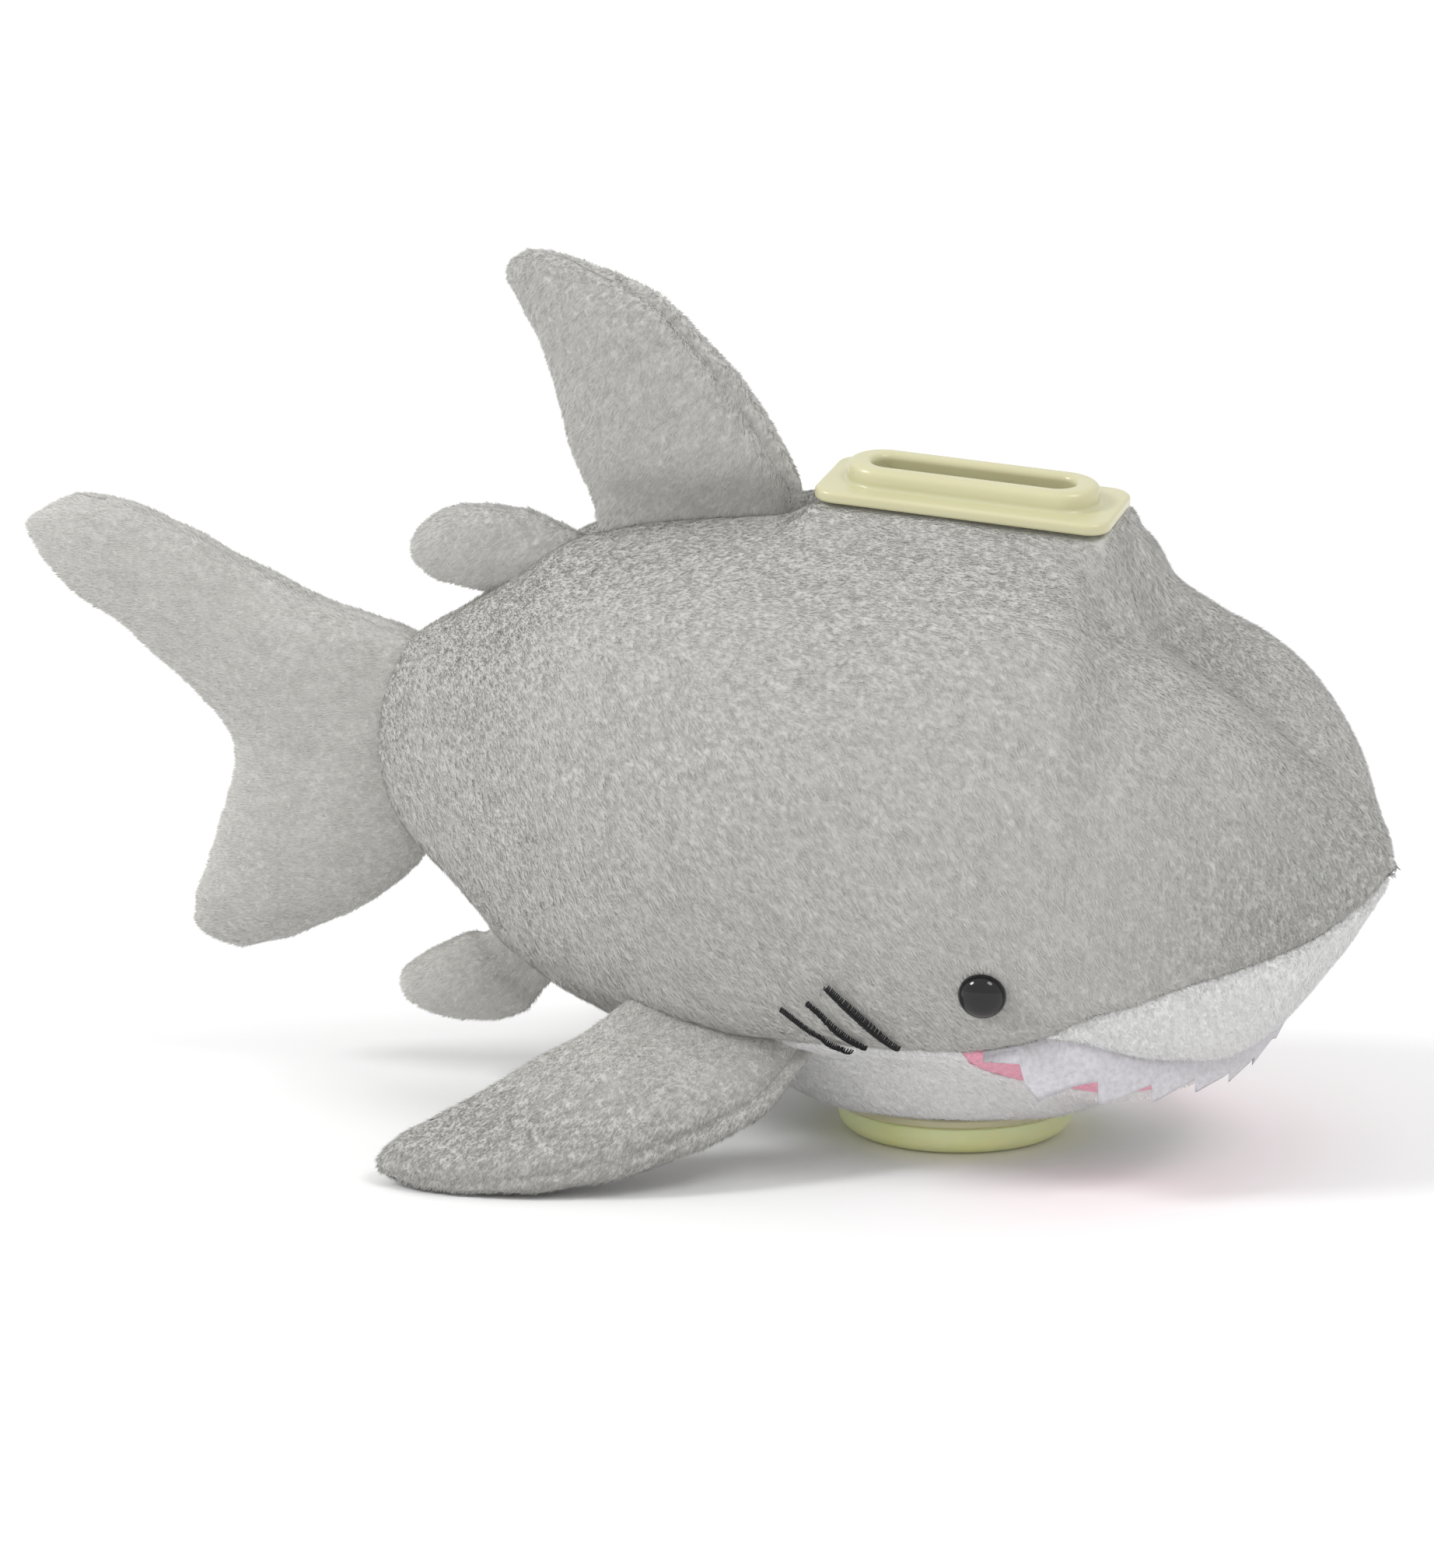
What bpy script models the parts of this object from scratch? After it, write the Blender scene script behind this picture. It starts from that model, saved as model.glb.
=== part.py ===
"""Plush shark coin bank: stuffed pile-fabric body with sewn fins, a moulded coin slot on
its head, a coin tank inside and a pull-out stopper under its belly.

Metres, +Z up, +X towards the nose, +Y towards the shark's left side. The origin is the
centre of the stopper's flat foot, on the surface that the shark stands on.
"""
import math

import bmesh
import bpy
import numpy as np
from mathutils import Matrix, Vector

MM = 0.001

# ---- driving dimensions (millimetres and degrees unless a name says otherwise) ----
SKIN = 2.2                 # pile fabric of the body, backing and pile together
FIN_SKIN = 1.4             # pile fabric of a fin
GAP = 0.3                  # clearance between touching pieces
SEAM_GAP = 0.35            # each panel stops this far short of the grey and white seam
CORE_GAP = 0.9             # clearance between the filling and its cover
CORE_START = 1.1           # the filling stops this many stations short of each end
LEAN = 9.0                 # the soft body leans this far to its right side
LEAN_FOOT = 7.0            # height of the line that it leans about
LEAN_START = 14.0          # below this height nothing leans
LEAN_FULL = 36.0           # and above this one all of it does
WAIST = 0.47               # height of the widest level, as a share of the body's height
CREASE = 5.0               # the seam on top of the snout lies this deep between two bulges
CREASE_HALF = 13.0         # half width of that hollow
CREASE_FROM = 24.0         # x where it starts, in front of the coin slot
CREASE_TO = 77.0           # and where it ends, at the nose
TAIL_PULL = 0.35           # the cover's inner face is this many stations shorter at the tail
NOSE_PULL = 0.55           # and this many at the nose

# Body stations from tail to nose:
# x, lowest z, highest z, half width, height of the grey and white seam, squareness
BODY = (
    (-104.0, 62.0, 70.0, 2.0, 62.0, 2.0),
    (-101.6, 54.0, 79.0, 6.0, 54.0, 2.0),
    (-95.5, 46.0, 86.0, 11.0, 46.0, 2.0),
    (-86.0, 37.0, 91.5, 17.0, 37.0, 2.0),
    (-76.0, 27.0, 98.0, 24.5, 27.0, 2.1),
    (-64.0, 19.0, 105.5, 32.0, 19.0, 2.1),
    (-50.0, 13.0, 109.5, 38.0, 21.0, 2.15),
    (-35.0, 9.2, 111.5, 43.0, 25.5, 2.2),
    (-18.0, 7.6, 113.3, 46.0, 28.0, 2.2),
    (0.0, 7.3, 113.6, 47.5, 30.0, 2.2),
    (15.0, 7.5, 112.3, 47.0, 32.0, 2.25),
    (28.0, 8.8, 108.8, 45.0, 36.5, 2.4),
    (34.5, 10.5, 97.5, 43.0, 40.0, 2.55),
    (43.0, 13.4, 89.3, 39.5, 42.3, 2.6),
    (52.0, 18.5, 82.0, 34.0, 44.5, 2.5),
    (61.0, 28.0, 75.0, 27.0, 46.2, 2.35),
    (69.0, 38.5, 67.5, 17.0, 47.3, 2.1),
    (75.0, 47.5, 60.5, 8.5, 49.8, 2.0),
    (77.6, 52.5, 56.0, 1.6, 52.6, 2.0),
)
BELLY_START = 5.3          # stations, counted from the tail, where the white belly begins
NOSE_END = 17.0            # and where the white underside of the snout ends
MOUTH_CORNER_X = 13.0
LIP_CORNER_X = 20.0
BELLY_FRONT_X = 38.0
LIP_FRONT_X = 49.0
LINING_SUNK = 1.2          # the pink mouth lining lies this far under the fabric's surface

TOOTH_COUNT = 9
TOOTH_LENGTH = 7.0
TOOTH_NOTCH = 2.6
FELT = 1.2

EYE_RADIUS = 4.0
EYE_HEIGHT = 3.4
EYE_STEM_RADIUS = 1.6
EYE_STEM_LENGTH = 7.5
EYE_WASHER_RADIUS = 5.0
EYE_AT = (17.5, 42.5)      # x and z on the flank
GILLS = (                  # start x, z and end x, z on the flank
    ((-8.0, 45.0), (3.0, 33.5)),
    ((-12.0, 41.0), (-3.0, 32.5)),
    ((-17.0, 39.0), (-6.5, 30.0)),
)
THREAD_WIDTH = 0.9
THREAD_HEIGHT = 0.7

FLANGE_RADIUS = 22.0
FLANGE_LOW = 5.5
FLANGE_TOP = 7.0
PRESS_MARGIN = 3.0         # the belly is flat this far past the flange
PRESS_FADE = 12.0          # and then rises over this width
NECK_OUTER = 17.6
NECK_INNER = 16.2
NECK_TOP = 14.5
STOPPER_RADIUS = 20.6
STOPPER_FOOT_RADIUS = 16.4
STOPPER_TOP = 5.2
PLUG_RADIUS = 15.9
PLUG_TOP = 13.5
PLUG_HOLLOW = 14.2
BACKING_LOW = FLANGE_TOP + SKIN + 3.5 * GAP
BACKING_THICKNESS = 1.1
BACKING_SPACE = 1.25       # free height that the filling leaves over the backing ring
CUT_PAST = 5.0             # a hole's form runs this far past what it cuts
STOPPER_FLOOR = 2.4

PLATE_AT = (6.5, 115.0)    # x, and the height of the plate's underside
PLATE_PITCH = 4.5
PLATE_LENGTH = 51.0
PLATE_WIDTH = 21.0
PLATE_THICKNESS = 2.0
PLATE_CORNER = 4.0
COLLAR_LENGTH = 43.5
COLLAR_WIDTH = 13.0
COLLAR_HEIGHT = 3.4
SLOT_LENGTH = 35.0
SLOT_WIDTH = 6.5
SPIGOT_WALL = 1.5
SPIGOT_DEPTH = 13.0
FRAME_BELOW = 7.0          # the clamp frame's top, below the plate's underside
FRAME_THICKNESS = 1.2
FRAME_RIM = 2.2

# Coin tank sections from the neck up: z, centre x, half length, half width
TANK = (
    (11.7, 0.0, 19.4, 19.4),
    (17.0, 0.0, 19.4, 19.4),
    (22.0, 0.6, 22.5, 21.8),
    (30.0, 1.5, 26.5, 24.5),
    (48.0, 2.5, 29.0, 25.5),
    (68.0, 4.0, 28.5, 22.5),
    (84.0, 5.5, 26.0, 15.5),
    (95.0, 5.5, 23.6, 10.6),
    (103.5, 5.4, 22.9, 8.6),
)
TANK_WALL = 1.5

# Fins: pairs of leading and trailing edge points with the fin's thickness, root to tip.
# The fins on the middle line give x and z; they lean with the body.
DORSAL = (
    ((-23.5, 114.8), (-61.5, 111.3), 5.0),
    ((-26.0, 121.0), (-64.5, 120.0), 14.0),
    ((-31.0, 130.0), (-66.0, 130.0), 15.0),
    ((-38.0, 139.0), (-68.5, 140.0), 14.0),
    ((-46.0, 147.2), (-72.0, 146.5), 11.5),
    ((-56.5, 152.3), (-74.3, 150.5), 8.5),
    ((-64.5, 155.6), (-74.0, 153.5), 5.5),
    ((-69.0, 156.0), (-71.5, 155.3), 1.6),
)
SECOND_DORSAL = (
    ((-66.5, 108.6), (-80.5, 97.0), 3.4),
    ((-72.0, 109.6), (-83.0, 95.5), 8.0),
    ((-79.0, 110.3), (-87.0, 95.0), 9.5),
    ((-86.0, 109.8), (-91.5, 96.5), 8.5),
    ((-91.5, 107.3), (-94.5, 99.0), 6.0),
    ((-94.6, 104.0), (-95.2, 101.5), 1.6),
)
ANAL = (
    ((-76.0, 18.8), (-86.8, 30.0), 3.4),
    ((-80.0, 14.6), (-90.5, 29.2), 8.0),
    ((-87.0, 12.3), (-95.5, 26.8), 9.5),
    ((-94.0, 12.2), (-100.0, 24.0), 8.5),
    ((-100.0, 13.8), (-103.0, 21.5), 6.0),
    ((-103.2, 16.5), (-104.0, 18.8), 1.6),
)
# The tail runs from its lower lobe to its upper lobe: front edge, rear edge, thickness
TAIL = (
    ((-132.5, 22.4), (-136.5, 22.6), 1.6),
    ((-122.0, 26.3), (-142.3, 26.0), 8.0),
    ((-110.5, 33.0), (-142.0, 32.5), 11.5),
    ((-101.0, 42.0), (-138.0, 42.0), 13.5),
    ((-104.8, 53.0), (-134.0, 53.0), 13.5),
    ((-106.2, 65.0), (-132.0, 64.0), 13.5),
    ((-105.4, 76.0), (-139.0, 73.0), 13.5),
    ((-102.5, 85.8), (-152.0, 84.0), 13.5),
    ((-116.0, 92.5), (-160.5, 90.0), 12.5),
    ((-133.0, 100.5), (-166.5, 97.0), 11.0),
    ((-145.5, 106.3), (-168.2, 103.0), 8.0),
    ((-155.0, 108.2), (-161.0, 107.6), 1.6),
)
TAIL_HINGE_X = -104.8
# The right pectoral fin gives x, y and z of its front and rear edges
PECTORAL = (
    ((-16.0, -39.5, 19.5), (-51.0, -41.5, 26.0), 4.4),
    ((-20.5, -45.5, 13.0), (-56.5, -45.5, 22.0), 10.5),
    ((-29.0, -54.0, 8.4), (-63.0, -49.5, 17.5), 12.5),
    ((-41.5, -62.0, 4.6), (-70.5, -53.0, 12.4), 12.0),
    ((-56.0, -67.5, 2.9), (-77.5, -56.5, 8.6), 10.0),
    ((-69.5, -69.5, 2.2), (-82.5, -60.5, 5.6), 7.2),
    ((-80.5, -67.5, 2.5), (-84.5, -64.0, 3.8), 1.6),
)
LEFT_PECTORAL_RAISE = 5.0  # the far root sits higher because the body leans
LEFT_PECTORAL_SHIFT = 1.0

# ---- mesh resolution ----
BODY_LENGTHWISE = 30
BODY_AROUND = 11
CORE_AROUND = 22
FIN_SPANWISE = 9
FIN_AROUND = 6
ROUND_SEGMENTS = 36
TANK_ROWS = 10
TANK_AROUND = 24


# ---- curves ----
def spline(rows, u):
    """The point at u stations along a smooth curve through the rows."""
    rows = np.asarray(rows, float)
    last = len(rows) - 1
    u = min(max(u, 0.0), float(last))
    i = min(int(u), last - 1)
    t = u - i
    p1, p2 = rows[i], rows[i + 1]
    p0 = rows[i - 1] if i > 0 else 2 * p1 - p2
    p3 = rows[i + 2] if i + 2 <= last else 2 * p2 - p1
    return 0.5 * (2 * p1 + (p2 - p0) * t + (2 * p0 - 5 * p1 + 4 * p2 - p3) * t ** 2
                  + (3 * p1 - p0 - 3 * p2 + p3) * t ** 3)


def signed_power(value, power):
    return math.copysign(abs(value) ** power, value)


def lean(point):
    """Bend a point of the upright body over to the side that it leans to."""
    x, y, z = point
    t = min(max((z - LEAN_START) / (LEAN_FULL - LEAN_START), 0.0), 1.0)
    angle = math.radians(LEAN) * t * t * (3 - 2 * t)
    rise = z - LEAN_FOOT
    return (x, y * math.cos(angle) - rise * math.sin(angle),
            LEAN_FOOT + y * math.sin(angle) + rise * math.cos(angle))


# ---- body surface ----
STATIONS = len(BODY) - 1
DENSE = [i * 0.02 for i in range(STATIONS * 50 + 1)]
DENSE_X = [spline(BODY, u)[0] for u in DENSE]


def station_at(x):
    return float(np.interp(x, DENSE_X, DENSE))


def body_point(u, theta, depth=0.0):
    """A point under the body's surface. theta runs from the top over the right side."""
    x, low, high, half, _, square = spline(BODY, u)
    middle = low + WAIST * (high - low)
    c, s = math.cos(theta), math.sin(theta)
    crease = crease_depth(x)
    reach = high + crease - middle if c > 0 else middle - low
    reach = max(reach - depth, 0.2)
    y = -max(half - depth, 0.2) * signed_power(s, 2 / square)
    z = middle + reach * signed_power(c, 2 / square)
    if c < 0:
        z += (FLANGE_TOP + GAP + depth - z) * flange_press(math.hypot(x, y))
    else:
        z -= crease * math.exp(-(y / CREASE_HALF) ** 2)
    return (x, y, z)


def crease_depth(x):
    share = min(max((x - CREASE_FROM) / (CREASE_TO - CREASE_FROM), 0.0), 1.0)
    return CREASE * math.sin(math.pi * share) ** 1.5


def flange_press(radius):
    """How firmly the outlet flange holds the belly flat, this far from its axis."""
    t = min(max((radius - FLANGE_RADIUS - PRESS_MARGIN) / PRESS_FADE, 0.0), 1.0)
    return 1 - t * t * (3 - 2 * t)


def theta_at_height(u, z):
    """The angle, on the lower right side, where the surface is at height z."""
    _, low, high, _, _, square = spline(BODY, u)
    middle = low + WAIST * (high - low)
    share = (middle - z) / (middle - low)
    c = signed_power(min(max(share, -1.0), 1.0), square / 2)
    return math.acos(-c)


def seam_theta(u, lift=0.0):
    return theta_at_height(u, spline(BODY, u)[4] + lift)


def inner_station(u, depth):
    """Where a point this deep in the fabric lies along the body: the ends pull inwards."""
    s = u / STATIONS
    return u + (TAIL_PULL * (1 - s) ** 6 - NOSE_PULL * s ** 8) * depth / SKIN


def flank_point(x, z, depth=0.0):
    u = station_at(x)
    return body_point(u, theta_at_height(u, z), depth)


def flank_normal(x, z):
    here = Vector(flank_point(x, z))
    along = Vector(flank_point(x + 0.5, z)) - here
    up = Vector(flank_point(x, z + 0.5)) - here
    return along.cross(up).normalized()


# ---- mesh helpers ----
def clear_scene():
    for obj in list(bpy.data.objects):
        bpy.data.objects.remove(obj, do_unlink=True)


def make_material(name, colour, roughness, alpha=1.0):
    material = bpy.data.materials.new(name)
    material.use_nodes = True
    shader = material.node_tree.nodes["Principled BSDF"]
    shader.inputs["Base Color"].default_value = (*colour, 1.0)
    shader.inputs["Roughness"].default_value = roughness
    shader.inputs["Metallic"].default_value = 0.0
    shader.inputs["Alpha"].default_value = alpha
    return material


def add_object(name, verts, faces, material, origin=(0.0, 0.0, 0.0)):
    """One closed object. verts are in millimetres in the row frame, like its origin."""
    mesh = bpy.data.meshes.new(name)
    base = Vector(origin)
    mesh.from_pydata([tuple((Vector(v) - base) * MM) for v in verts], [], faces)
    tidy = bmesh.new()
    tidy.from_mesh(mesh)
    bmesh.ops.recalc_face_normals(tidy, faces=tidy.faces)
    tidy.to_mesh(mesh)
    tidy.free()
    mesh.shade_smooth()
    mesh.set_sharp_from_angle(angle=math.radians(40))
    mesh.materials.append(material)
    obj = bpy.data.objects.new(name, mesh)
    obj.location = base * MM
    bpy.context.scene.collection.objects.link(obj)
    return obj


def cut(obj, cutter, name):
    modifier = obj.modifiers.new(name, "BOOLEAN")
    modifier.operation = "DIFFERENCE"
    modifier.solver = "EXACT"
    modifier.object = cutter
    cutter.hide_render = True
    cutter.display_type = "WIRE"


def grid_faces(rows, columns, start=0, wrap=False):
    faces = []
    across = columns if wrap else columns - 1
    for i in range(rows - 1):
        for j in range(across):
            k = (j + 1) % columns
            a = start + i * columns
            b = a + columns
            faces.append((a + j, a + k, b + k, b + j))
    return faces


def shell_from_grids(outer, inner):
    """A closed sheet between two grids of points that match row for row."""
    rows, columns = len(outer), len(outer[0])
    verts = [p for row in outer for p in row] + [p for row in inner for p in row]
    offset = rows * columns
    faces = grid_faces(rows, columns) + grid_faces(rows, columns, offset)
    rim = [j for j in range(columns)]
    rim += [i * columns + columns - 1 for i in range(1, rows)]
    rim += [(rows - 1) * columns + j for j in range(columns - 2, -1, -1)]
    rim += [i * columns for i in range(rows - 2, 0, -1)]
    for a, b in zip(rim, rim[1:] + rim[:1]):
        faces.append((a, b, b + offset, a + offset))
    return verts, faces


def closed_loft(rings):
    """A closed solid through rings of points, with a flat cap at each end."""
    count = len(rings[0])
    verts = [p for ring in rings for p in ring]
    faces = grid_faces(len(rings), count, wrap=True)
    faces.append(tuple(range(count)))
    faces.append(tuple(range(len(verts) - count, len(verts))))
    return verts, faces


def lathe(profile, segments, closed=False):
    """Turn (radius, z) points about Z. A closed profile makes a ring with a bore."""
    verts, rows = [], []
    for radius, z in profile:
        if radius == 0.0:
            rows.append([len(verts)] * segments)
            verts.append((0.0, 0.0, z))
            continue
        rows.append(list(range(len(verts), len(verts) + segments)))
        for k in range(segments):
            angle = 2 * math.pi * k / segments
            verts.append((radius * math.cos(angle), radius * math.sin(angle), z))
    pairs = list(zip(rows, rows[1:] + rows[:1])) if closed else list(zip(rows, rows[1:]))
    faces = []
    for low, high in pairs:
        for k in range(segments):
            n = (k + 1) % segments
            corners = dict.fromkeys((low[k], low[n], high[n], high[k]))
            if len(corners) > 2:
                faces.append(tuple(corners))
    return verts, faces


def obround(length, width, segments=8):
    """The outline of a slot with round ends, round about its centre."""
    radius = width / 2
    reach = length / 2 - radius
    outline = []
    for side in (1, -1):
        for k in range(segments + 1):
            angle = math.pi * k / segments - math.pi / 2 + (0 if side > 0 else math.pi)
            outline.append((side * reach + radius * math.cos(angle), radius * math.sin(angle)))
    return outline


def rounded_rectangle(length, width, radius, segments=4):
    outline = []
    for index, (sx, sy) in enumerate(((1, 1), (-1, 1), (-1, -1), (1, -1))):
        for k in range(segments + 1):
            angle = math.pi / 2 * (index + k / segments)
            outline.append((sx * (length / 2 - radius) + radius * math.cos(angle),
                            sy * (width / 2 - radius) + radius * math.sin(angle)))
    return outline


def prism(outline, low, high):
    return closed_loft([[(x, y, z) for x, y in outline] for z in (low, high)])


# ---- body ----
def body_grid(depth, stations, thetas, shift):
    """Rows of leaned points, moved aside by shift. thetas(u) gives the angles at u."""
    rows = []
    for u in stations:
        row = []
        for theta in thetas(u):
            x, y, z = body_point(inner_station(u, depth), theta, depth)
            row.append(lean((x, y + shift, z)))
        rows.append(row)
    return rows


def eased(count, first, last):
    """Stations spaced evenly, and closer together at both ends."""
    steps = [i / (count - 1) for i in range(count)]
    return [first + (last - first) * (0.65 * s + 0.35 * (1 - math.cos(math.pi * s)) / 2)
            for s in steps]


def side_panel(side, material):
    """The grey cover of one side: +1 is the right side, -1 the left."""
    stations = eased(BODY_LENGTHWISE, 0.0, STATIONS)

    def thetas(u):
        end = seam_theta(u, SEAM_GAP)
        return [side * end * j / (BODY_AROUND - 1) for j in range(BODY_AROUND)]

    outer = body_grid(0.0, stations, thetas, -side * GAP / 2)
    inner = body_grid(SKIN, stations, thetas, -side * GAP / 2)
    name = "body_side_right" if side > 0 else "body_side_left"
    verts, faces = shell_from_grids(outer, inner)
    return add_object(name, verts, faces, material)


def mouth_line(t, corner, front):
    """x of an edge that runs from one mouth corner (t = 0) round to the other (t = 1)."""
    return corner + (front - corner) * math.sin(math.pi * t) ** 0.8


def underside_panel(name, material, start, end, rows, columns, sink=0.0, shrink=0.0):
    """A panel under the body from start(t) to end(t), in stations, from seam to seam."""
    grids = []
    for depth in (sink, sink + SKIN):
        grid = []
        for i in range(rows):
            row = []
            for j in range(columns):
                t = shrink + (1 - 2 * shrink) * j / (columns - 1)
                u = start(t) + (end(t) - start(t)) * i / (rows - 1)
                edge = seam_theta(u, -SEAM_GAP)
                theta = edge + (2 * math.pi - 2 * edge) * t
                row.append(lean(body_point(inner_station(u, depth), theta, depth)))
            grid.append(row)
        grids.append(grid)
    verts, faces = shell_from_grids(*grids)
    return add_object(name, verts, faces, material)


def belly_end(t):
    return station_at(mouth_line(t, MOUTH_CORNER_X, BELLY_FRONT_X) - GAP)


def lining_start(t):
    return station_at(mouth_line(t, MOUTH_CORNER_X, BELLY_FRONT_X) + GAP)


def lining_end(t):
    return station_at(mouth_line(t, LIP_CORNER_X, LIP_FRONT_X) - 2 * GAP)


def snout_start(t):
    return station_at(mouth_line(t, LIP_CORNER_X, LIP_FRONT_X) + GAP)


def teeth_strip(material):
    """A zigzag felt strip that hangs from the upper lip, from corner to corner."""
    columns = []
    for k in range(TOOTH_COUNT):
        columns.append((k / TOOTH_COUNT, TOOTH_NOTCH))
        columns.append(((k + 0.3) / TOOTH_COUNT, TOOTH_LENGTH))
        columns.append(((k + 0.65) / TOOTH_COUNT, (TOOTH_LENGTH + TOOTH_NOTCH) / 2))
    columns.append((1.0, TOOTH_NOTCH))
    grids = []
    for base in (0.0, FELT):
        rows = []
        for level in (0.0, 1.0):
            row = []
            for share, length in columns:
                t = 0.06 + 0.88 * share
                centred = 1 - abs(2 * share - 1)
                length = length * min(1.0, 0.35 + 2.2 * centred)
                drop = length * level
                x = mouth_line(t, LIP_CORNER_X, LIP_FRONT_X) - 2.4 * GAP - drop * 0.75
                u = station_at(x)
                edge = seam_theta(u, -GAP)
                theta = edge + (2 * math.pi - 2 * edge) * t
                out = base - 0.2 + drop * 0.34
                px, py, pz = body_point(u, theta, -out)
                row.append(lean((px, py, pz)))
            rows.append(row)
        grids.append(rows)
    verts, faces = shell_from_grids(*grids)
    return add_object("teeth_strip", verts, faces, material)


def stuffing(material):
    depth = SKIN + CORE_GAP
    rings = []
    for u in eased(BODY_LENGTHWISE, 0.0, STATIONS):
        if not CORE_START < u < STATIONS - CORE_START:
            continue
        place = inner_station(u, depth)
        rings.append([lean(body_point(place, 2 * math.pi * j / CORE_AROUND, depth + sunk(u, j)))
                      for j in range(CORE_AROUND)])
    verts, faces = closed_loft(rings)
    return add_object("body_stuffing", verts, faces, material)


def sunk(u, j):
    """The stuffing stays clear of the mouth lining, which is sunk below the fabric."""
    x = spline(BODY, u)[0]
    below = math.cos(2 * math.pi * j / CORE_AROUND) < -0.3
    near_mouth = MOUTH_CORNER_X - 8 < x < LIP_FRONT_X + 8
    return LINING_SUNK + CORE_GAP if below and near_mouth else CORE_GAP if below else 0.0


def surface_strip(name, start, end, side, material):
    """A line of satin stitch that lies on the flank."""
    steps = 6
    rings = []
    for i in range(steps + 1):
        s = i / steps
        x = start[0] + (end[0] - start[0]) * s
        z = start[1] + (end[1] - start[1]) * s
        half = THREAD_WIDTH / 2 * (0.35 + 0.65 * math.sin(math.pi * min(max(s, 0.08), 0.92)))
        along = Vector((end[0] - start[0], 0.0, end[1] - start[1])).normalized()
        across = Vector((-along.z, 0.0, along.x)) * half
        ring = []
        for sign, height in ((1, GAP), (-1, GAP), (-1, GAP + THREAD_HEIGHT), (1, GAP + THREAD_HEIGHT)):
            px, py, pz = flank_point(x + sign * across.x, z + sign * across.z, -height)
            ring.append(lean((px, side * py, pz)))
        rings.append(ring)
    verts, faces = closed_loft(rings)
    return add_object(name, verts, faces, material)


# ---- fins ----
def fin_frame(rows, u):
    """The centre of a fin's section with its half chord and half thickness vectors."""
    row = spline(rows, u)
    ahead = spline(rows, min(u + 0.2, len(rows) - 1))
    behind = spline(rows, max(u - 0.2, 0.0))
    lead, trail = Vector(row[0:3]), Vector(row[3:6])
    centre = (lead + trail) / 2
    span = Vector((ahead[0:3] + ahead[3:6]) / 2) - Vector((behind[0:3] + behind[3:6]) / 2)
    chord = (lead - trail) / 2
    across = chord.cross(span).normalized() * max(row[6] / 2, 0.3)
    return centre, chord, across


def fin_point(rows, u, theta, depth, shift=0.0):
    centre, chord, across = fin_frame(rows, u)
    long_axis = chord.normalized() * max(chord.length - depth, 0.2)
    thick_axis = across.normalized() * max(across.length - depth, 0.15)
    point = centre + long_axis * math.cos(theta) + thick_axis * math.sin(theta)
    return point + across.normalized() * shift


def fin_inner_station(rows, u, first, last):
    count = len(rows) - 1
    return first + u / count * (count - last - first)


def fin(names, rows, materials, bend, origin, blunt_root=True):
    """Two covers and their filling. rows hold lead, trail and thickness."""
    flat = [(*lead, *trail, thick) for lead, trail, thick in rows]
    count = len(flat) - 1
    first = 0.0 if blunt_root else 0.45
    last = 0.45
    stations = eased(FIN_SPANWISE + len(rows) // 4, 0.0, count)
    pieces = []
    for side, name in ((1, names[0]), (-1, names[1])):
        outer, inner = [], []
        for u in stations:
            angles = [side * math.pi * j / (FIN_AROUND - 1) for j in range(FIN_AROUND)]
            place = fin_inner_station(flat, u, first, last)
            shift = side * GAP / 2
            outer.append([bend(fin_point(flat, u, a, 0.0, shift)) for a in angles])
            inner.append([bend(fin_point(flat, place, a, FIN_SKIN, shift)) for a in angles])
        verts, faces = shell_from_grids(outer, inner)
        pieces.append(add_object(name, verts, faces, materials[0], origin))
    rings = []
    depth = FIN_SKIN + CORE_GAP
    core_first = -1.0 if blunt_root else CORE_START
    for u in stations:
        if not core_first < u < count - CORE_START + 0.3:
            continue
        place = fin_inner_station(flat, u, first, last) + (0.04 if u == 0.0 else 0.0)
        rings.append([bend(fin_point(flat, place, math.pi * j / 5, depth)) for j in range(10)])
    verts, faces = closed_loft(rings)
    pieces.append(add_object(names[2], verts, faces, materials[1], origin))
    return pieces


def upright(rows):
    """Middle-line fin rows, given as x and z, as x, y and z."""
    return [((lead[0], 0.0, lead[1]), (trail[0], 0.0, trail[1]), thick)
            for lead, trail, thick in rows]


def middle_of(points):
    return tuple(sum(axis) / len(points) for axis in zip(*points))


def unbent(point):
    return tuple(point)


# ---- moulded pieces ----
def outlet_ring(material):
    lip = 0.6
    profile = ((NECK_INNER, FLANGE_LOW), (FLANGE_RADIUS - lip, FLANGE_LOW),
               (FLANGE_RADIUS, FLANGE_LOW + lip), (FLANGE_RADIUS, FLANGE_TOP - 0.3),
               (FLANGE_RADIUS - 0.4, FLANGE_TOP), (NECK_OUTER, FLANGE_TOP),
               (NECK_OUTER, NECK_TOP), (NECK_INNER, NECK_TOP))
    verts, faces = lathe(profile, ROUND_SEGMENTS, closed=True)
    return add_object("outlet_ring", verts, faces, material)


def outlet_backing_ring(material):
    top = BACKING_LOW + BACKING_THICKNESS
    profile = ((NECK_OUTER + GAP, BACKING_LOW), (FLANGE_RADIUS, BACKING_LOW),
               (FLANGE_RADIUS, top), (NECK_OUTER + GAP, top))
    verts, faces = lathe(profile, ROUND_SEGMENTS, closed=True)
    return add_object("outlet_backing_ring", verts, faces, material)


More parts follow.
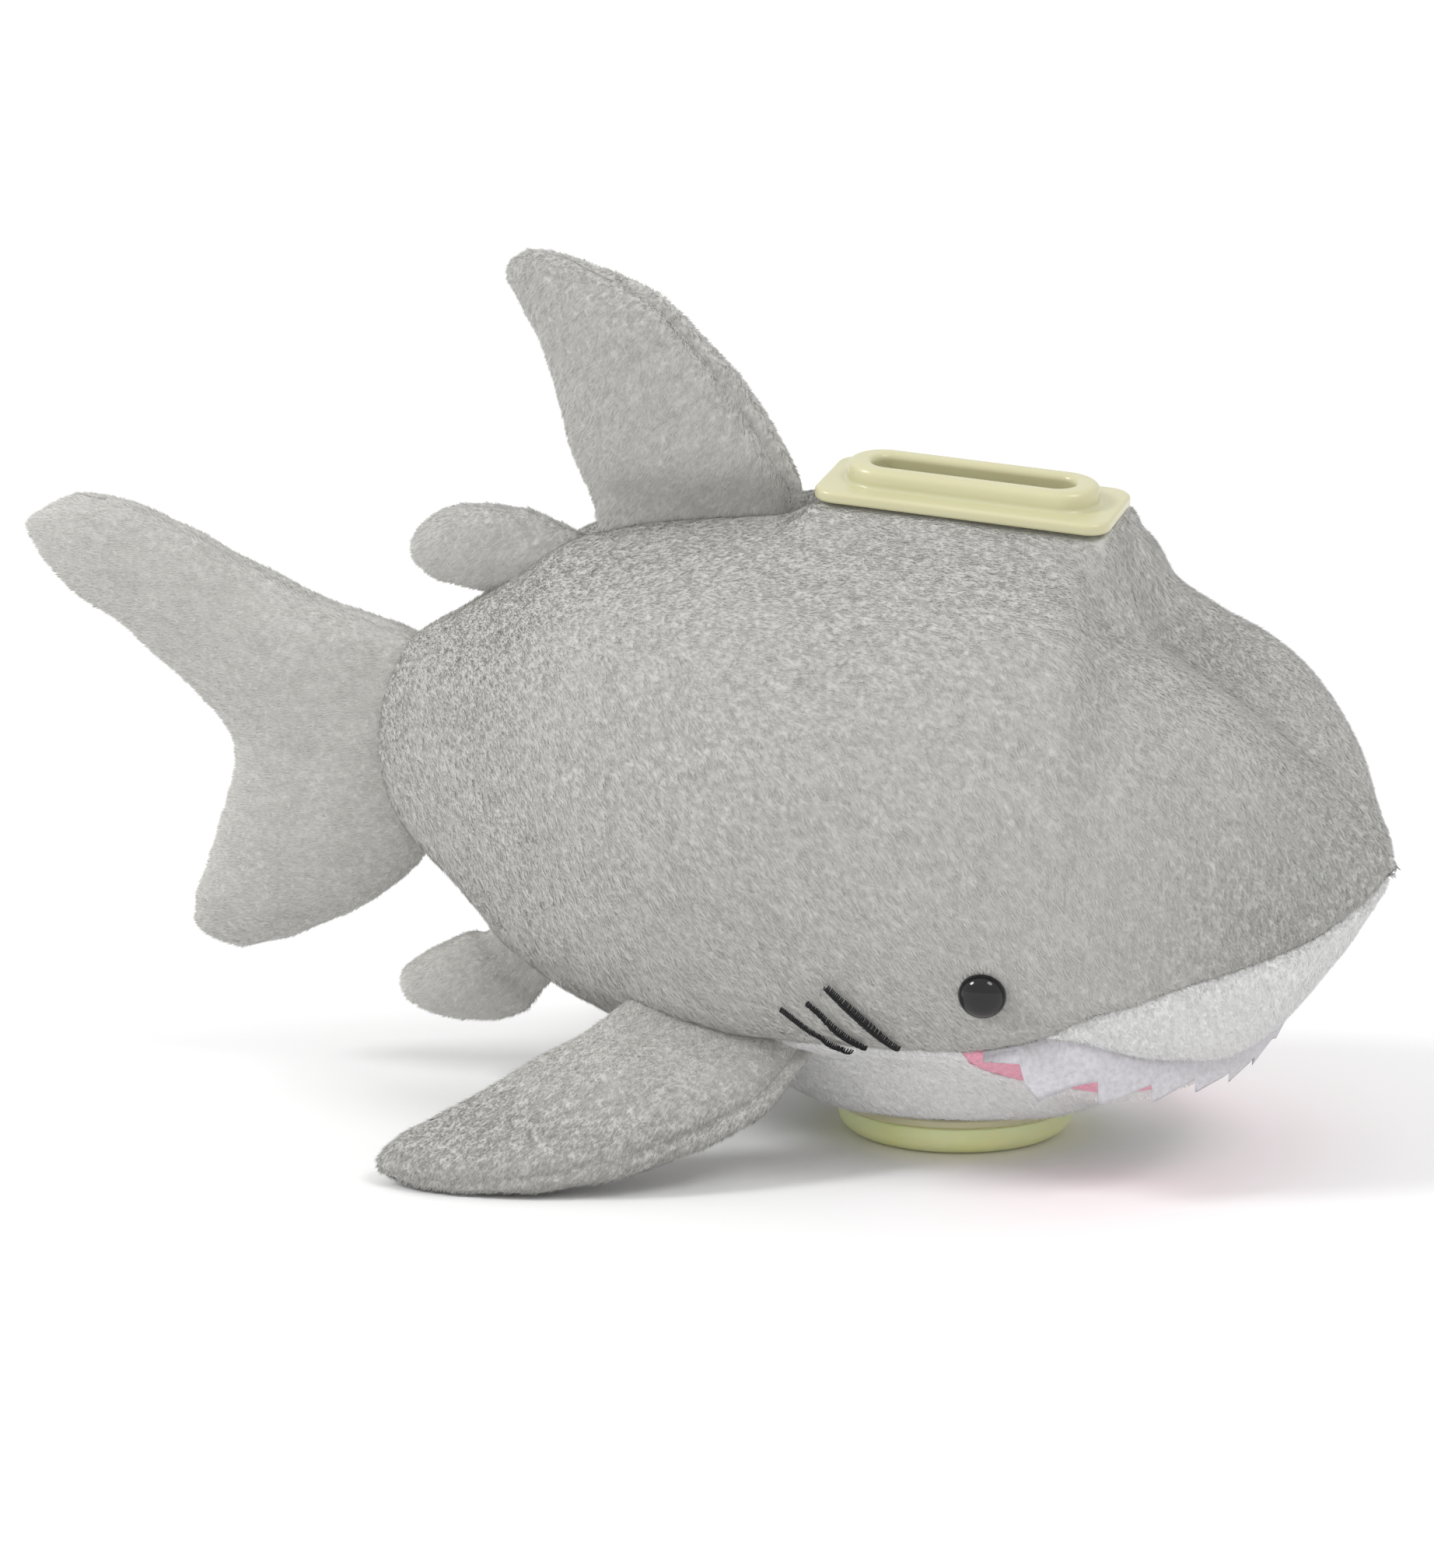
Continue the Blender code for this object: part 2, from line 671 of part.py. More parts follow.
def stopper(material):
    """A soft cup: a flat foot, a bulging rim and a hollow plug open at its top."""
    profile = [(0.0, 0.0), (STOPPER_FOOT_RADIUS, 0.0)]
    for k in range(1, 6):
        angle = math.pi / 2 * k / 5
        profile.append((STOPPER_FOOT_RADIUS
                        + (STOPPER_RADIUS - STOPPER_FOOT_RADIUS) * math.sin(angle),
                        3.4 * (1 - math.cos(angle))))
    profile += [(STOPPER_RADIUS, STOPPER_TOP - 0.4), (STOPPER_RADIUS - 0.4, STOPPER_TOP),
                (PLUG_RADIUS, STOPPER_TOP), (PLUG_RADIUS, PLUG_TOP - 0.8),
                (PLUG_RADIUS - 0.5, PLUG_TOP), (PLUG_HOLLOW, PLUG_TOP),
                (PLUG_HOLLOW - 0.6, STOPPER_FLOOR + 0.8), (PLUG_HOLLOW - 1.4, STOPPER_FLOOR),
                (0.0, STOPPER_FLOOR)]
    verts, faces = lathe(profile, ROUND_SEGMENTS)
    return add_object("stopper", verts, faces, material)


def tank_rings(grow, low, high):
    rings = []
    rows = len(TANK) - 1
    for i in range(TANK_ROWS):
        z_share = i / (TANK_ROWS - 1)
        z, centre, half_x, half_y = spline(TANK, rows * z_share)
        z = min(max(z, low), high)
        ring = []
        for j in range(TANK_AROUND):
            angle = 2 * math.pi * j / TANK_AROUND
            ring.append((centre + (half_x + grow) * math.cos(angle),
                         (half_y + grow) * math.sin(angle), z))
        rings.append(ring)
    return rings


def coin_tank(material):
    low, high = TANK[0][0], TANK[-1][0]
    outer = tank_rings(0.0, low, high)
    inner = tank_rings(-TANK_WALL, low, high)
    count = len(outer[0])
    verts = [lean(p) for ring in outer + inner for p in ring]
    offset = len(outer) * count
    faces = grid_faces(len(outer), count, wrap=True)
    faces += grid_faces(len(inner), count, offset, wrap=True)
    for row in (0, (len(outer) - 1) * count):
        for j in range(count):
            k = (j + 1) % count
            faces.append((row + j, row + k, row + k + offset, row + j + offset))
    return add_object("coin_tank", verts, faces, material)


def tank_cutter():
    rings = tank_rings(GAP * 1.5, -50.0, 200.0)
    bottom = [(x, y, -CUT_PAST) for x, y, _ in rings[0]]
    top = [(x, y, TANK[-1][0] + 3.0) for x, y, _ in rings[-1]]
    verts, faces = closed_loft([[lean(p) for p in ring] for ring in [bottom] + rings + [top]])
    return add_object("tank_space", verts, faces, form_material)


def ring_cutter():
    top = BACKING_LOW + BACKING_THICKNESS + BACKING_SPACE
    radius = FLANGE_RADIUS + 2 * GAP
    profile = ((0.0, -CUT_PAST), (radius, -CUT_PAST), (radius, top), (0.0, top))
    verts, faces = lathe(profile, ROUND_SEGMENTS)
    return add_object("backing_ring_space", verts, faces, form_material)


def neck_cutter():
    top = NECK_TOP + CUT_PAST
    radius = NECK_OUTER + GAP
    profile = ((0.0, -CUT_PAST), (radius, -CUT_PAST), (radius, top), (0.0, top))
    verts, faces = lathe(profile, ROUND_SEGMENTS)
    return add_object("neck_space", verts, faces, form_material)


def place_on_head(obj, head):
    """Seat a moulded piece, built about its own centre, on the top of the head."""
    obj.parent = head
    obj.location = (PLATE_AT[0] * MM, 0.0, (PLATE_AT[1] - LEAN_FOOT) * MM)
    obj.rotation_euler = (0.0, math.radians(PLATE_PITCH), 0.0)


def slot_plate(material, head):
    verts, faces = prism(rounded_rectangle(PLATE_LENGTH, PLATE_WIDTH, PLATE_CORNER),
                         0.0, PLATE_THICKNESS)
    plate = add_object("slot_plate", verts, faces, material)
    collar_end = PLATE_THICKNESS + COLLAR_HEIGHT
    crown = [[(x, y, z) for x, y in obround(COLLAR_LENGTH - 2 * inset, COLLAR_WIDTH - 2 * inset)]
             for inset, z in ((-0.4, PLATE_THICKNESS - 0.5), (-0.4, PLATE_THICKNESS + 0.1),
                              (0.0, PLATE_THICKNESS + 0.6), (0.0, collar_end - 1.2),
                              (0.4, collar_end - 0.4), (1.2, collar_end))]
    verts, faces = closed_loft(crown)
    collar = add_object("collar_form", verts, faces, form_material)
    spigot_outline = obround(SLOT_LENGTH + 2 * SPIGOT_WALL, SLOT_WIDTH + 2 * SPIGOT_WALL)
    verts, faces = prism(spigot_outline, -SPIGOT_DEPTH, 0.5)
    spigot = add_object("spigot_form", verts, faces, form_material)
    verts, faces = prism(obround(SLOT_LENGTH, SLOT_WIDTH), -SPIGOT_DEPTH - CUT_PAST,
                         collar_end + CUT_PAST)
    slot = add_object("slot_space", verts, faces, form_material)
    for form, operation in ((collar, "UNION"), (spigot, "UNION"), (slot, "DIFFERENCE")):
        modifier = plate.modifiers.new(form.name, "BOOLEAN")
        modifier.operation = operation
        modifier.solver = "EXACT"
        modifier.object = form
        form.hide_render = True
        form.display_type = "WIRE"
        place_on_head(form, head)
    place_on_head(plate, head)
    return plate


def slot_backing_frame(material, head):
    inner = obround(SLOT_LENGTH + 2 * SPIGOT_WALL + 2 * GAP, SLOT_WIDTH + 2 * SPIGOT_WALL + 2 * GAP)
    grow = 2 * SPIGOT_WALL + 2 * GAP + 2 * FRAME_RIM
    outer = obround(SLOT_LENGTH + grow, SLOT_WIDTH + grow)
    top = -FRAME_BELOW
    low = top - FRAME_THICKNESS
    rings = [[(x, y, z) for x, y in line]
             for line, z in ((outer, low), (outer, top), (inner, top), (inner, low))]
    count = len(inner)
    verts = [p for ring in rings for p in ring]
    faces = grid_faces(4, count, wrap=True)
    faces += [(3 * count + j, 3 * count + (j + 1) % count, (j + 1) % count, j) for j in range(count)]
    frame = add_object("slot_backing_frame", verts, faces, material)
    place_on_head(frame, head)
    return frame


def head_cutter(name, extra, low, high, head):
    verts, faces = prism(obround(SLOT_LENGTH + 2 * SPIGOT_WALL + extra,
                                 SLOT_WIDTH + 2 * SPIGOT_WALL + extra), low, high)
    cutter = add_object(name, verts, faces, form_material)
    place_on_head(cutter, head)
    return cutter


# ---- eyes ----
def eye_frame(side):
    """The eye's seat on the flank: a matrix whose Z points out of the fabric."""
    x, y, z = flank_point(*EYE_AT)
    here = Vector(lean((x, side * y, z)))
    normal = flank_normal(*EYE_AT)
    x2, y2, z2 = Vector((x, y, z)) + normal * 4.0
    out = (Vector(lean((x2, side * y2, z2))) - here).normalized()
    turn = Vector((0, 0, 1)).rotation_difference(out).to_matrix().to_4x4()
    return Matrix.Translation(here * MM) @ turn


def add_seated(name, profile, side, material, closed=False, segments=24):
    verts, faces = lathe(profile, segments, closed)
    obj = add_object(name, verts, faces, material)
    obj.matrix_world = eye_frame(side)
    return obj


def eye(name, side, material):
    profile = [(0.0, -EYE_STEM_LENGTH), (EYE_STEM_RADIUS, -EYE_STEM_LENGTH),
               (EYE_STEM_RADIUS, GAP), (EYE_RADIUS - 0.3, GAP)]
    for k in range(7):
        angle = math.pi / 2 * k / 6
        profile.append((EYE_RADIUS * math.cos(angle) if k < 6 else 0.0,
                        GAP + 0.4 + (EYE_HEIGHT - 0.4) * math.sin(angle)))
    return add_seated(name, profile, side, material)


def eye_washer(name, side, material):
    top = -SKIN - 3 * GAP
    bore = EYE_STEM_RADIUS + GAP / 2
    profile = ((bore, top - 1.0), (EYE_WASHER_RADIUS, top - 1.0),
               (EYE_WASHER_RADIUS, top), (bore, top))
    return add_seated(name, profile, side, material, closed=True)


def eye_cutter(name, side, radius, low, high):
    profile = ((0.0, low), (radius, low), (radius, high), (0.0, high))
    return add_seated(name, profile, side, form_material, segments=20)


# ---- build ----
clear_scene()
form_material = make_material("construction", (0.5, 0.5, 0.5), 0.5)
grey_pile = make_material("grey_pile_fabric", (0.49, 0.49, 0.47), 0.9)
white_pile = make_material("white_pile_fabric", (0.82, 0.82, 0.81), 0.9)
pink_felt = make_material("pink_felt", (0.88, 0.33, 0.45), 0.95)
white_felt = make_material("white_felt", (0.76, 0.75, 0.79), 0.95)
black_gloss = make_material("black_eye_plastic", (0.01, 0.01, 0.012), 0.08)
black_thread = make_material("black_thread", (0.015, 0.015, 0.015), 0.6)
cream_plastic = make_material("cream_plastic", (0.86, 0.84, 0.6), 0.25)
clear_vinyl = make_material("translucent_vinyl", (0.72, 0.74, 0.42), 0.3, alpha=0.75)
tank_plastic = make_material("tank_plastic", (0.85, 0.85, 0.83), 0.4)
washer_plastic = make_material("washer_plastic", (0.9, 0.9, 0.88), 0.4)
fibre = make_material("polyester_fibre", (0.93, 0.93, 0.92), 1.0)

head = bpy.data.objects.new("head_lean", None)
head.location = (0.0, 0.0, LEAN_FOOT * MM)
head.rotation_euler = (math.radians(LEAN), 0.0, 0.0)
bpy.context.scene.collection.objects.link(head)

right_side = side_panel(1, grey_pile)
left_side = side_panel(-1, grey_pile)
belly = underside_panel("belly_panel", white_pile, lambda t: BELLY_START, belly_end, 17, 13)
underside_panel("mouth_lining", pink_felt, lining_start, lining_end, 5, 13, LINING_SUNK, 0.01)
underside_panel("snout_underside", white_pile, snout_start, lambda t: NOSE_END, 8, 11)
teeth_strip(white_felt)
filling = stuffing(fibre)

spigot_hole = head_cutter("spigot_hole", 2 * GAP, -30.0, 10.0, head)
frame_hole = head_cutter("frame_hole", 2 * FRAME_RIM + 10 * GAP, -11.0, 10.0, head)
cut(right_side, spigot_hole, "spigot")
cut(left_side, spigot_hole, "spigot")
cut(belly, neck_cutter(), "neck")
cut(filling, tank_cutter(), "tank")
cut(filling, ring_cutter(), "backing_ring")
cut(filling, frame_hole, "slot_frame")

for side, word, panel in ((1, "right", right_side), (-1, "left", left_side)):
    eye(f"eye_{word}", side, black_gloss)
    eye_washer(f"eye_washer_{word}", side, washer_plastic)
    stem_hole = eye_cutter(f"stem_hole_{word}", side, EYE_STEM_RADIUS + GAP, -SKIN * 2, 3.0)
    washer_hole = eye_cutter(f"washer_hole_{word}", side, EYE_WASHER_RADIUS + GAP,
                             -EYE_STEM_LENGTH - GAP, 3.0)
    cut(panel, stem_hole, "eye_stem")
    cut(filling, washer_hole, f"eye_{word}")
    for number, (start, end) in enumerate(GILLS, 1):
        surface_strip(f"gill_stitch_{word}_{number}", start, end, side, black_thread)

slot_plate(cream_plastic, head)
slot_backing_frame(washer_plastic, head)
coin_tank(tank_plastic)
outlet_ring(cream_plastic)
outlet_backing_ring(washer_plastic)
stopper(clear_vinyl)

covers = (grey_pile, fibre)
for label, rows in (("dorsal_fin", DORSAL), ("second_dorsal_fin", SECOND_DORSAL), ("anal_fin", ANAL)):
    points = upright(rows)
    root = lean(middle_of(points[0][:2]))
    names = (f"{label}_right", f"{label}_left", f"{label}_stuffing")
    fin(names, points, covers, lean, root)
tail_hinge = lean((TAIL_HINGE_X, 0.0, 65.0))
fin(("tail_fin_right", "tail_fin_left", "tail_fin_stuffing"), upright(TAIL), covers, lean,
    tail_hinge, blunt_root=False)

left_rows = []
for step, (lead, trail, thick) in enumerate(PECTORAL):
    share = (1 - step / (len(PECTORAL) - 1)) ** 2
    raised = [(x, -y - LEFT_PECTORAL_SHIFT * share, z + LEFT_PECTORAL_RAISE * share)
              for x, y, z in (lead, trail)]
    left_rows.append((raised[0], raised[1], thick))
for word, rows, faces in (("right", PECTORAL, ("lower", "upper")),
                          ("left", left_rows, ("upper", "lower"))):
    names = (f"pectoral_fin_{word}_{faces[0]}", f"pectoral_fin_{word}_{faces[1]}",
             f"pectoral_fin_{word}_stuffing")
    fin(names, rows, covers, unbent, middle_of(rows[0][:2]))
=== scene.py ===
"""Looks of the plush shark coin bank: pile fabric, felt, thread and moulded plastic, made
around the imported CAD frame. Lengths are in millimetres: +X towards the nose, +Y towards
the shark's left side, +Z up. The body is described upright and then leant over.
"""
import math

import bmesh
import bpy
import numpy as np
from mathutils import Matrix, Vector


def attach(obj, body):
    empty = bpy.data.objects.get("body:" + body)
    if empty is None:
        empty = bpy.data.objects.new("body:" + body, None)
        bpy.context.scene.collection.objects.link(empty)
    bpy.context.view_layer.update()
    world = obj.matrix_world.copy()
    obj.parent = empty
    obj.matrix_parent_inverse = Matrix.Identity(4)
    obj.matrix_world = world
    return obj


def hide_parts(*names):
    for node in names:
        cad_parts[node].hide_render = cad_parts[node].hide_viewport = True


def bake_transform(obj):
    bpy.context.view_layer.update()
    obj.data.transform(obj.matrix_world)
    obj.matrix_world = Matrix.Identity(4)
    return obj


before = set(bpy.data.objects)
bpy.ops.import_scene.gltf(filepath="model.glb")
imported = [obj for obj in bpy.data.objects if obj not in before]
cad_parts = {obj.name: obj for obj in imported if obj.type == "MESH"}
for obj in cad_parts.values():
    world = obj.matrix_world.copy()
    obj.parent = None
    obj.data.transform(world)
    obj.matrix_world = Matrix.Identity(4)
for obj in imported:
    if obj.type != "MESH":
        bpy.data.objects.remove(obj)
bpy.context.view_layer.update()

MM = 0.001

# ---- the body, with the CAD model's dimensions except for its seam gap ----
SKIN = 2.2
FIN_SKIN = 1.4
GAP = 0.3
SEAM_GAP = 0.12            # narrower than the CAD's, so that no gap shows at a seam
LEAN = 9.0
LEAN_FOOT = 7.0
LEAN_START = 14.0
LEAN_FULL = 36.0
WAIST = 0.47
CREASE = 5.0
CREASE_HALF = 13.0
CREASE_FROM = 24.0
CREASE_TO = 77.0
TAIL_PULL = 0.35
NOSE_PULL = 0.55
# x, lowest z, highest z, half width, height of the grey and white seam, squareness
BODY = (
    (-104.0, 62.0, 70.0, 2.0, 62.0, 2.0),
    (-101.6, 54.0, 79.0, 6.0, 54.0, 2.0),
    (-95.5, 46.0, 86.0, 11.0, 46.0, 2.0),
    (-86.0, 37.0, 91.5, 17.0, 37.0, 2.0),
    (-76.0, 27.0, 98.0, 24.5, 27.0, 2.1),
    (-64.0, 19.0, 105.5, 32.0, 19.0, 2.1),
    (-50.0, 13.0, 109.5, 38.0, 21.0, 2.15),
    (-35.0, 9.2, 111.5, 43.0, 25.5, 2.2),
    (-18.0, 7.6, 113.3, 46.0, 28.0, 2.2),
    (0.0, 7.3, 113.6, 47.5, 30.0, 2.2),
    (15.0, 7.5, 112.3, 47.0, 32.0, 2.25),
    (28.0, 8.8, 108.8, 45.0, 36.5, 2.4),
    (34.5, 10.5, 97.5, 43.0, 40.0, 2.55),
    (43.0, 13.4, 89.3, 39.5, 42.3, 2.6),
    (52.0, 18.5, 82.0, 34.0, 44.5, 2.5),
    (61.0, 28.0, 75.0, 27.0, 46.2, 2.35),
    (69.0, 38.5, 67.5, 17.0, 47.3, 2.1),
    (75.0, 47.5, 60.5, 8.5, 49.8, 2.0),
    (77.6, 52.5, 56.0, 1.6, 52.6, 2.0),
)
STATIONS = len(BODY) - 1
BELLY_START = 5.3
UPRIGHT_CENTRE = np.array([0.0, 0.0, 58.0])
BODY_CENTRE = np.array([0.0, -9.0, 60.0])

# ---- mouth, teeth, eyes and gills ----
# The lip, the belly's edge, the teeth and the eyes stand further forward or higher than
# in the CAD, and the teeth are longer and more.
NOSE_END = 17.9            # the station where the panels are gathered to a point
NOSE_TIP = np.array([78.4, 0.0, 54.3])
NOSE_SLOPE = np.array([3.0, 0.0, 12.0])
NOSE_SKIN = np.array([1.6, 0.0, 0.0])
MOUTH_CORNER_X = 13.0
LIP_CORNER_X = 26.5
BELLY_FRONT_X = 50.0
LIP_FRONT_X = 58.0
BELLY_CURVE = 3.1
LIP_CURVE = 0.72
LINING_SUNK = 1.2
LINING_SHRINK = 0.006
LINING_OVERLAP = 0.12
TOOTH_COUNT = 13
TOOTH_LENGTH = 9.4
TOOTH_FRONT = 4.6
TOOTH_NOTCH = 4.8
FELT = 1.2
# share of a tooth's width, reach from notch to tip: steep behind, shallow in front
TOOTH_OUTLINE = ((0.0, 0.2), (0.08, 1.0), (0.16, 0.97), (0.4, 0.68), (0.6, 0.42),
                 (0.8, 0.18), (0.98, 0.0))
EYE_RADIUS = 4.0
EYE_HEIGHT = 3.4
EYE_AT = (18.5, 45.4)
GILLS = (
    ((-8.0, 45.0), (3.0, 33.5)),
    ((-12.0, 41.0), (-3.0, 32.5)),
    ((-17.0, 39.0), (-6.5, 30.0)),
)

# ---- mouldings, with the CAD model's dimensions ----
FLANGE_RADIUS = 22.0
FLANGE_LOW = 5.5
FLANGE_TOP = 7.0
PRESS_MARGIN = 3.0
PRESS_FADE = 12.0
NECK_OUTER = 17.6
NECK_INNER = 16.2
NECK_TOP = 14.5
STOPPER_RADIUS = 20.6
STOPPER_FOOT_RADIUS = 16.4
STOPPER_TOP = 5.2
PLUG_RADIUS = 15.9
PLUG_TOP = 13.5
PLUG_HOLLOW = 14.2
STOPPER_FLOOR = 2.4
PLATE_AT = (6.5, 115.0)
PLATE_PITCH = 4.5
PLATE_LENGTH = 51.0
PLATE_WIDTH = 21.0
PLATE_THICKNESS = 2.0
PLATE_CORNER = 4.0
COLLAR_LENGTH = 43.5
COLLAR_WIDTH = 13.0
COLLAR_HEIGHT = 3.4
SLOT_LENGTH = 35.0
SLOT_WIDTH = 6.5
SPIGOT_WALL = 1.5
SPIGOT_DEPTH = 13.0

# ---- fins: the CAD model's rows, run on into the body and fuller at some roots ----
# Fin rows: leading edge, trailing edge, thickness. The first row is buried in the body.
DORSAL = (
    ((-25.5, 106.0), (-59.5, 103.0), 5.0),
    ((-23.3, 114.8), (-61.5, 111.3), 6.0),
    ((-25.6, 121.0), (-64.5, 120.0), 14.0),
    ((-30.4, 130.0), (-66.0, 130.0), 15.0),
    ((-37.4, 139.0), (-68.5, 140.0), 14.0),
    ((-45.6, 147.2), (-72.0, 146.5), 11.5),
    ((-56.2, 152.4), (-74.3, 150.5), 8.5),
    ((-64.5, 155.6), (-74.0, 153.5), 5.5),
    ((-69.0, 156.0), (-71.5, 155.3), 1.6),
)
SECOND_DORSAL = (
    ((-57.0, 98.5), (-73.0, 88.5), 5.0),
    ((-64.5, 106.2), (-79.0, 93.2), 6.5),
    ((-72.0, 109.4), (-83.5, 94.2), 8.5),
    ((-79.0, 110.3), (-87.0, 95.0), 9.5),
    ((-86.0, 109.8), (-91.5, 96.5), 8.5),
    ((-91.5, 107.3), (-94.5, 99.0), 6.0),
    ((-94.6, 104.0), (-95.2, 101.5), 1.6),
)
ANAL = (
    ((-70.0, 24.5), (-80.5, 34.0), 3.4),
    ((-76.0, 18.8), (-86.8, 30.0), 4.4),
    ((-80.0, 14.6), (-90.5, 29.2), 8.0),
    ((-87.0, 12.3), (-95.5, 26.8), 9.5),
    ((-94.0, 12.2), (-100.0, 24.0), 8.5),
    ((-100.0, 13.8), (-103.0, 21.5), 6.0),
    ((-103.2, 16.5), (-104.0, 18.8), 1.6),
)
# The tail runs from its lower lobe to its upper lobe, with its front edge in the body
TAIL = (
    ((-132.5, 22.4), (-136.5, 22.6), 1.6),
    ((-122.0, 26.3), (-142.3, 26.0), 8.0),
    ((-109.5, 33.0), (-142.0, 32.5), 11.5),
    ((-97.0, 42.5), (-138.0, 42.0), 13.5),
    ((-93.0, 53.0), (-134.0, 53.0), 14.0),
    ((-92.0, 65.0), (-132.0, 64.0), 14.0),
    ((-92.0, 76.0), (-139.0, 73.0), 14.0),
    ((-94.0, 85.0), (-152.0, 84.0), 13.5),
    ((-113.0, 91.0), (-160.5, 90.0), 12.5),
    ((-133.0, 100.5), (-166.5, 97.0), 11.0),
    ((-145.5, 106.3), (-168.2, 103.0), 8.0),
    ((-155.0, 108.2), (-161.0, 107.6), 1.6),
)
PECTORAL = (
    ((-13.5, -33.0, 24.5), (-46.0, -35.0, 30.5), 4.4),
    ((-16.0, -39.5, 19.5), (-51.0, -41.5, 26.0), 5.0),
    ((-20.5, -45.5, 13.0), (-56.5, -45.5, 22.0), 10.5),
    ((-29.0, -54.0, 8.4), (-63.0, -49.5, 17.5), 12.5),
    ((-41.5, -62.0, 4.6), (-70.5, -53.0, 12.4), 12.0),
    ((-56.0, -67.5, 2.9), (-77.5, -56.5, 8.6), 10.0),
    ((-69.5, -69.5, 2.2), (-82.5, -60.5, 5.6), 7.2),
    ((-80.5, -67.5, 2.5), (-84.5, -64.0, 3.8), 1.6),
)
LEFT_PECTORAL_RAISE = 5.0
LEFT_PECTORAL_SHIFT = 1.0

# ---- pile, seams and stuffing ----
PILE_DENSITY = 11.0        # tufts per square millimetre
PILE_LENGTH = 1.15
WHITE_PILE_LENGTH = 0.95
PILE_HALF_WIDTH = 0.12
PILE_PER_PIECE = 180000
RIB = 1.3                  # the knit shows as faint ribs across the head
SEAM_DEPTH = 1.0           # a seam pulls the fabric in this far
SEAM_WIDTH = 1.7
PLATE_OVERLAP = 1.5        # the raised cloth reaches this far in under the slot plate
RAISE_FADE = 4.2
DEEPEST_HOLLOW = -1.9      # deeper, and the filling would come through the cloth
# height, centre and reach of the swellings and hollows of the upright body
SWELLS_BOTH_SIDES = (
    (2.2, (54, -14, 86), (18, 9, 16)),
    (1.6, (20, -27, 96), (14, 9, 9)),
    (-2.6, (30, -13, 100), (4.5, 7, 8)),
    (-1.2, (24, -20, 99), (5, 6, 5)),
)
SWELLS = (
    (1.8, (38, 9, 99), (9, 7, 8)),
    (3.2, (57, 16, 78), (17, 13, 18)),
    (2.0, (66, 12, 66), (10, 9, 9)),
    (-1.6, (37, 0, 98), (4, 4.5, 8)),
)

# ---- colours and studio ----
GREY = (0.555, 0.55, 0.525)
WHITE = (0.74, 0.74, 0.735)
# the far ends of the row of tones carry painted light and painted shade on the pile
TUFT_TONES = (0.62, 0.70, 0.80, 0.88, 0.96, 1.04, 1.12, 1.20, 1.30, 1.40)
MIDDLE_TONE = 4.3          # most tufts take a shade near this place in the row of tones
SKY_STRENGTH = 0.88
FLOOR_GREY = 0.93
FLOOR_SIZE = 14.0
# name, direction of travel, strength, width of the source in degrees
SUNS = (
    ("key_light", (0.70, 0.50, -0.72), 1.15, 16.0),
    ("fill_light", (-0.65, 0.35, -0.90), 0.60, 20.0),
)
CAMERA_AZIMUTH = 18.0
CAMERA_ELEVATION = 12.0
CAMERA_DISTANCE = 0.95
CAMERA_TARGET = (-0.044, 0.0, 0.0584)
CAMERA_LENS = 124.28
CAMERA_SENSOR = 36.0


# ---- curves and noise ----
def spline(rows, u):
    """Points at u stations along a smooth curve through the rows."""
    rows = np.asarray(rows, float)
    last = len(rows) - 1
    u = np.clip(np.asarray(u, float), 0.0, last)
    i = np.minimum(u.astype(int), last - 1)
    t = (u - i)[..., None]
    ends = np.vstack([2 * rows[0] - rows[1], rows, 2 * rows[-1] - rows[-2]])
    p0, p1, p2, p3 = (ends[i + k] for k in range(4))
    return 0.5 * (2 * p1 + (p2 - p0) * t + (2 * p0 - 5 * p1 + 4 * p2 - p3) * t ** 2
                  + (3 * p1 - p0 - 3 * p2 + p3) * t ** 3)


def smooth(t):
    t = np.clip(t, 0.0, 1.0)
    return t * t * (3 - 2 * t)


def signed_power(value, power):
    """A power that keeps the value's sign."""
    return np.sign(value) * np.abs(value) ** power


def unit(vectors):
    return vectors / np.maximum(np.linalg.norm(vectors, axis=-1, keepdims=True), 1e-9)


def waves(points, length, seed, count=12):
    """Smooth noise of about -1 to 1 whose bumps are this long."""
    rng = np.random.default_rng(seed)
    total = np.zeros(points.shape[:-1])
    for _ in range(count):
        turn = unit(rng.normal(size=3)) * 2 * math.pi / (length * rng.uniform(0.7, 1.5))
        total += np.sin(points @ turn + rng.uniform(0, 2 * math.pi))
    return total / math.sqrt(2 * count)


def bump_at(points, centre, reach):
    """1 at the centre, fading to 0 over the reach, which may differ along each axis."""
    away = (points - np.asarray(centre, float)) / np.asarray(reach, float)
    return np.exp(-(away ** 2).sum(-1))


def lean(points):
    """Bend points of the upright body over to its right side."""
    x, y, z = np.moveaxis(np.asarray(points, float), -1, 0)
    angle = math.radians(LEAN) * smooth((z - LEAN_START) / (LEAN_FULL - LEAN_START))
    rise = z - LEAN_FOOT
    return np.stack([x, y * np.cos(angle) - rise * np.sin(angle),
                     LEAN_FOOT + y * np.sin(angle) + rise * np.cos(angle)], -1)


# ---- body surface ----
DENSE = np.linspace(0.0, STATIONS, STATIONS * 60 + 1)
DENSE_X = spline(BODY, DENSE)[:, 0]


def station_at(x):
    """The station along the body at this x."""
    return np.interp(x, DENSE_X, DENSE)


def crease_depth(x):
    """Depth of the crease along the top seam of the snout."""
    share = np.clip((x - CREASE_FROM) / (CREASE_TO - CREASE_FROM), 0.0, 1.0)
    return CREASE * np.sin(math.pi * share) ** 1.5


def flange_press(radius):
    """1 where the outlet flange holds the belly flat, fading to 0 around it."""
    return 1 - smooth((radius - FLANGE_RADIUS - PRESS_MARGIN) / PRESS_FADE)


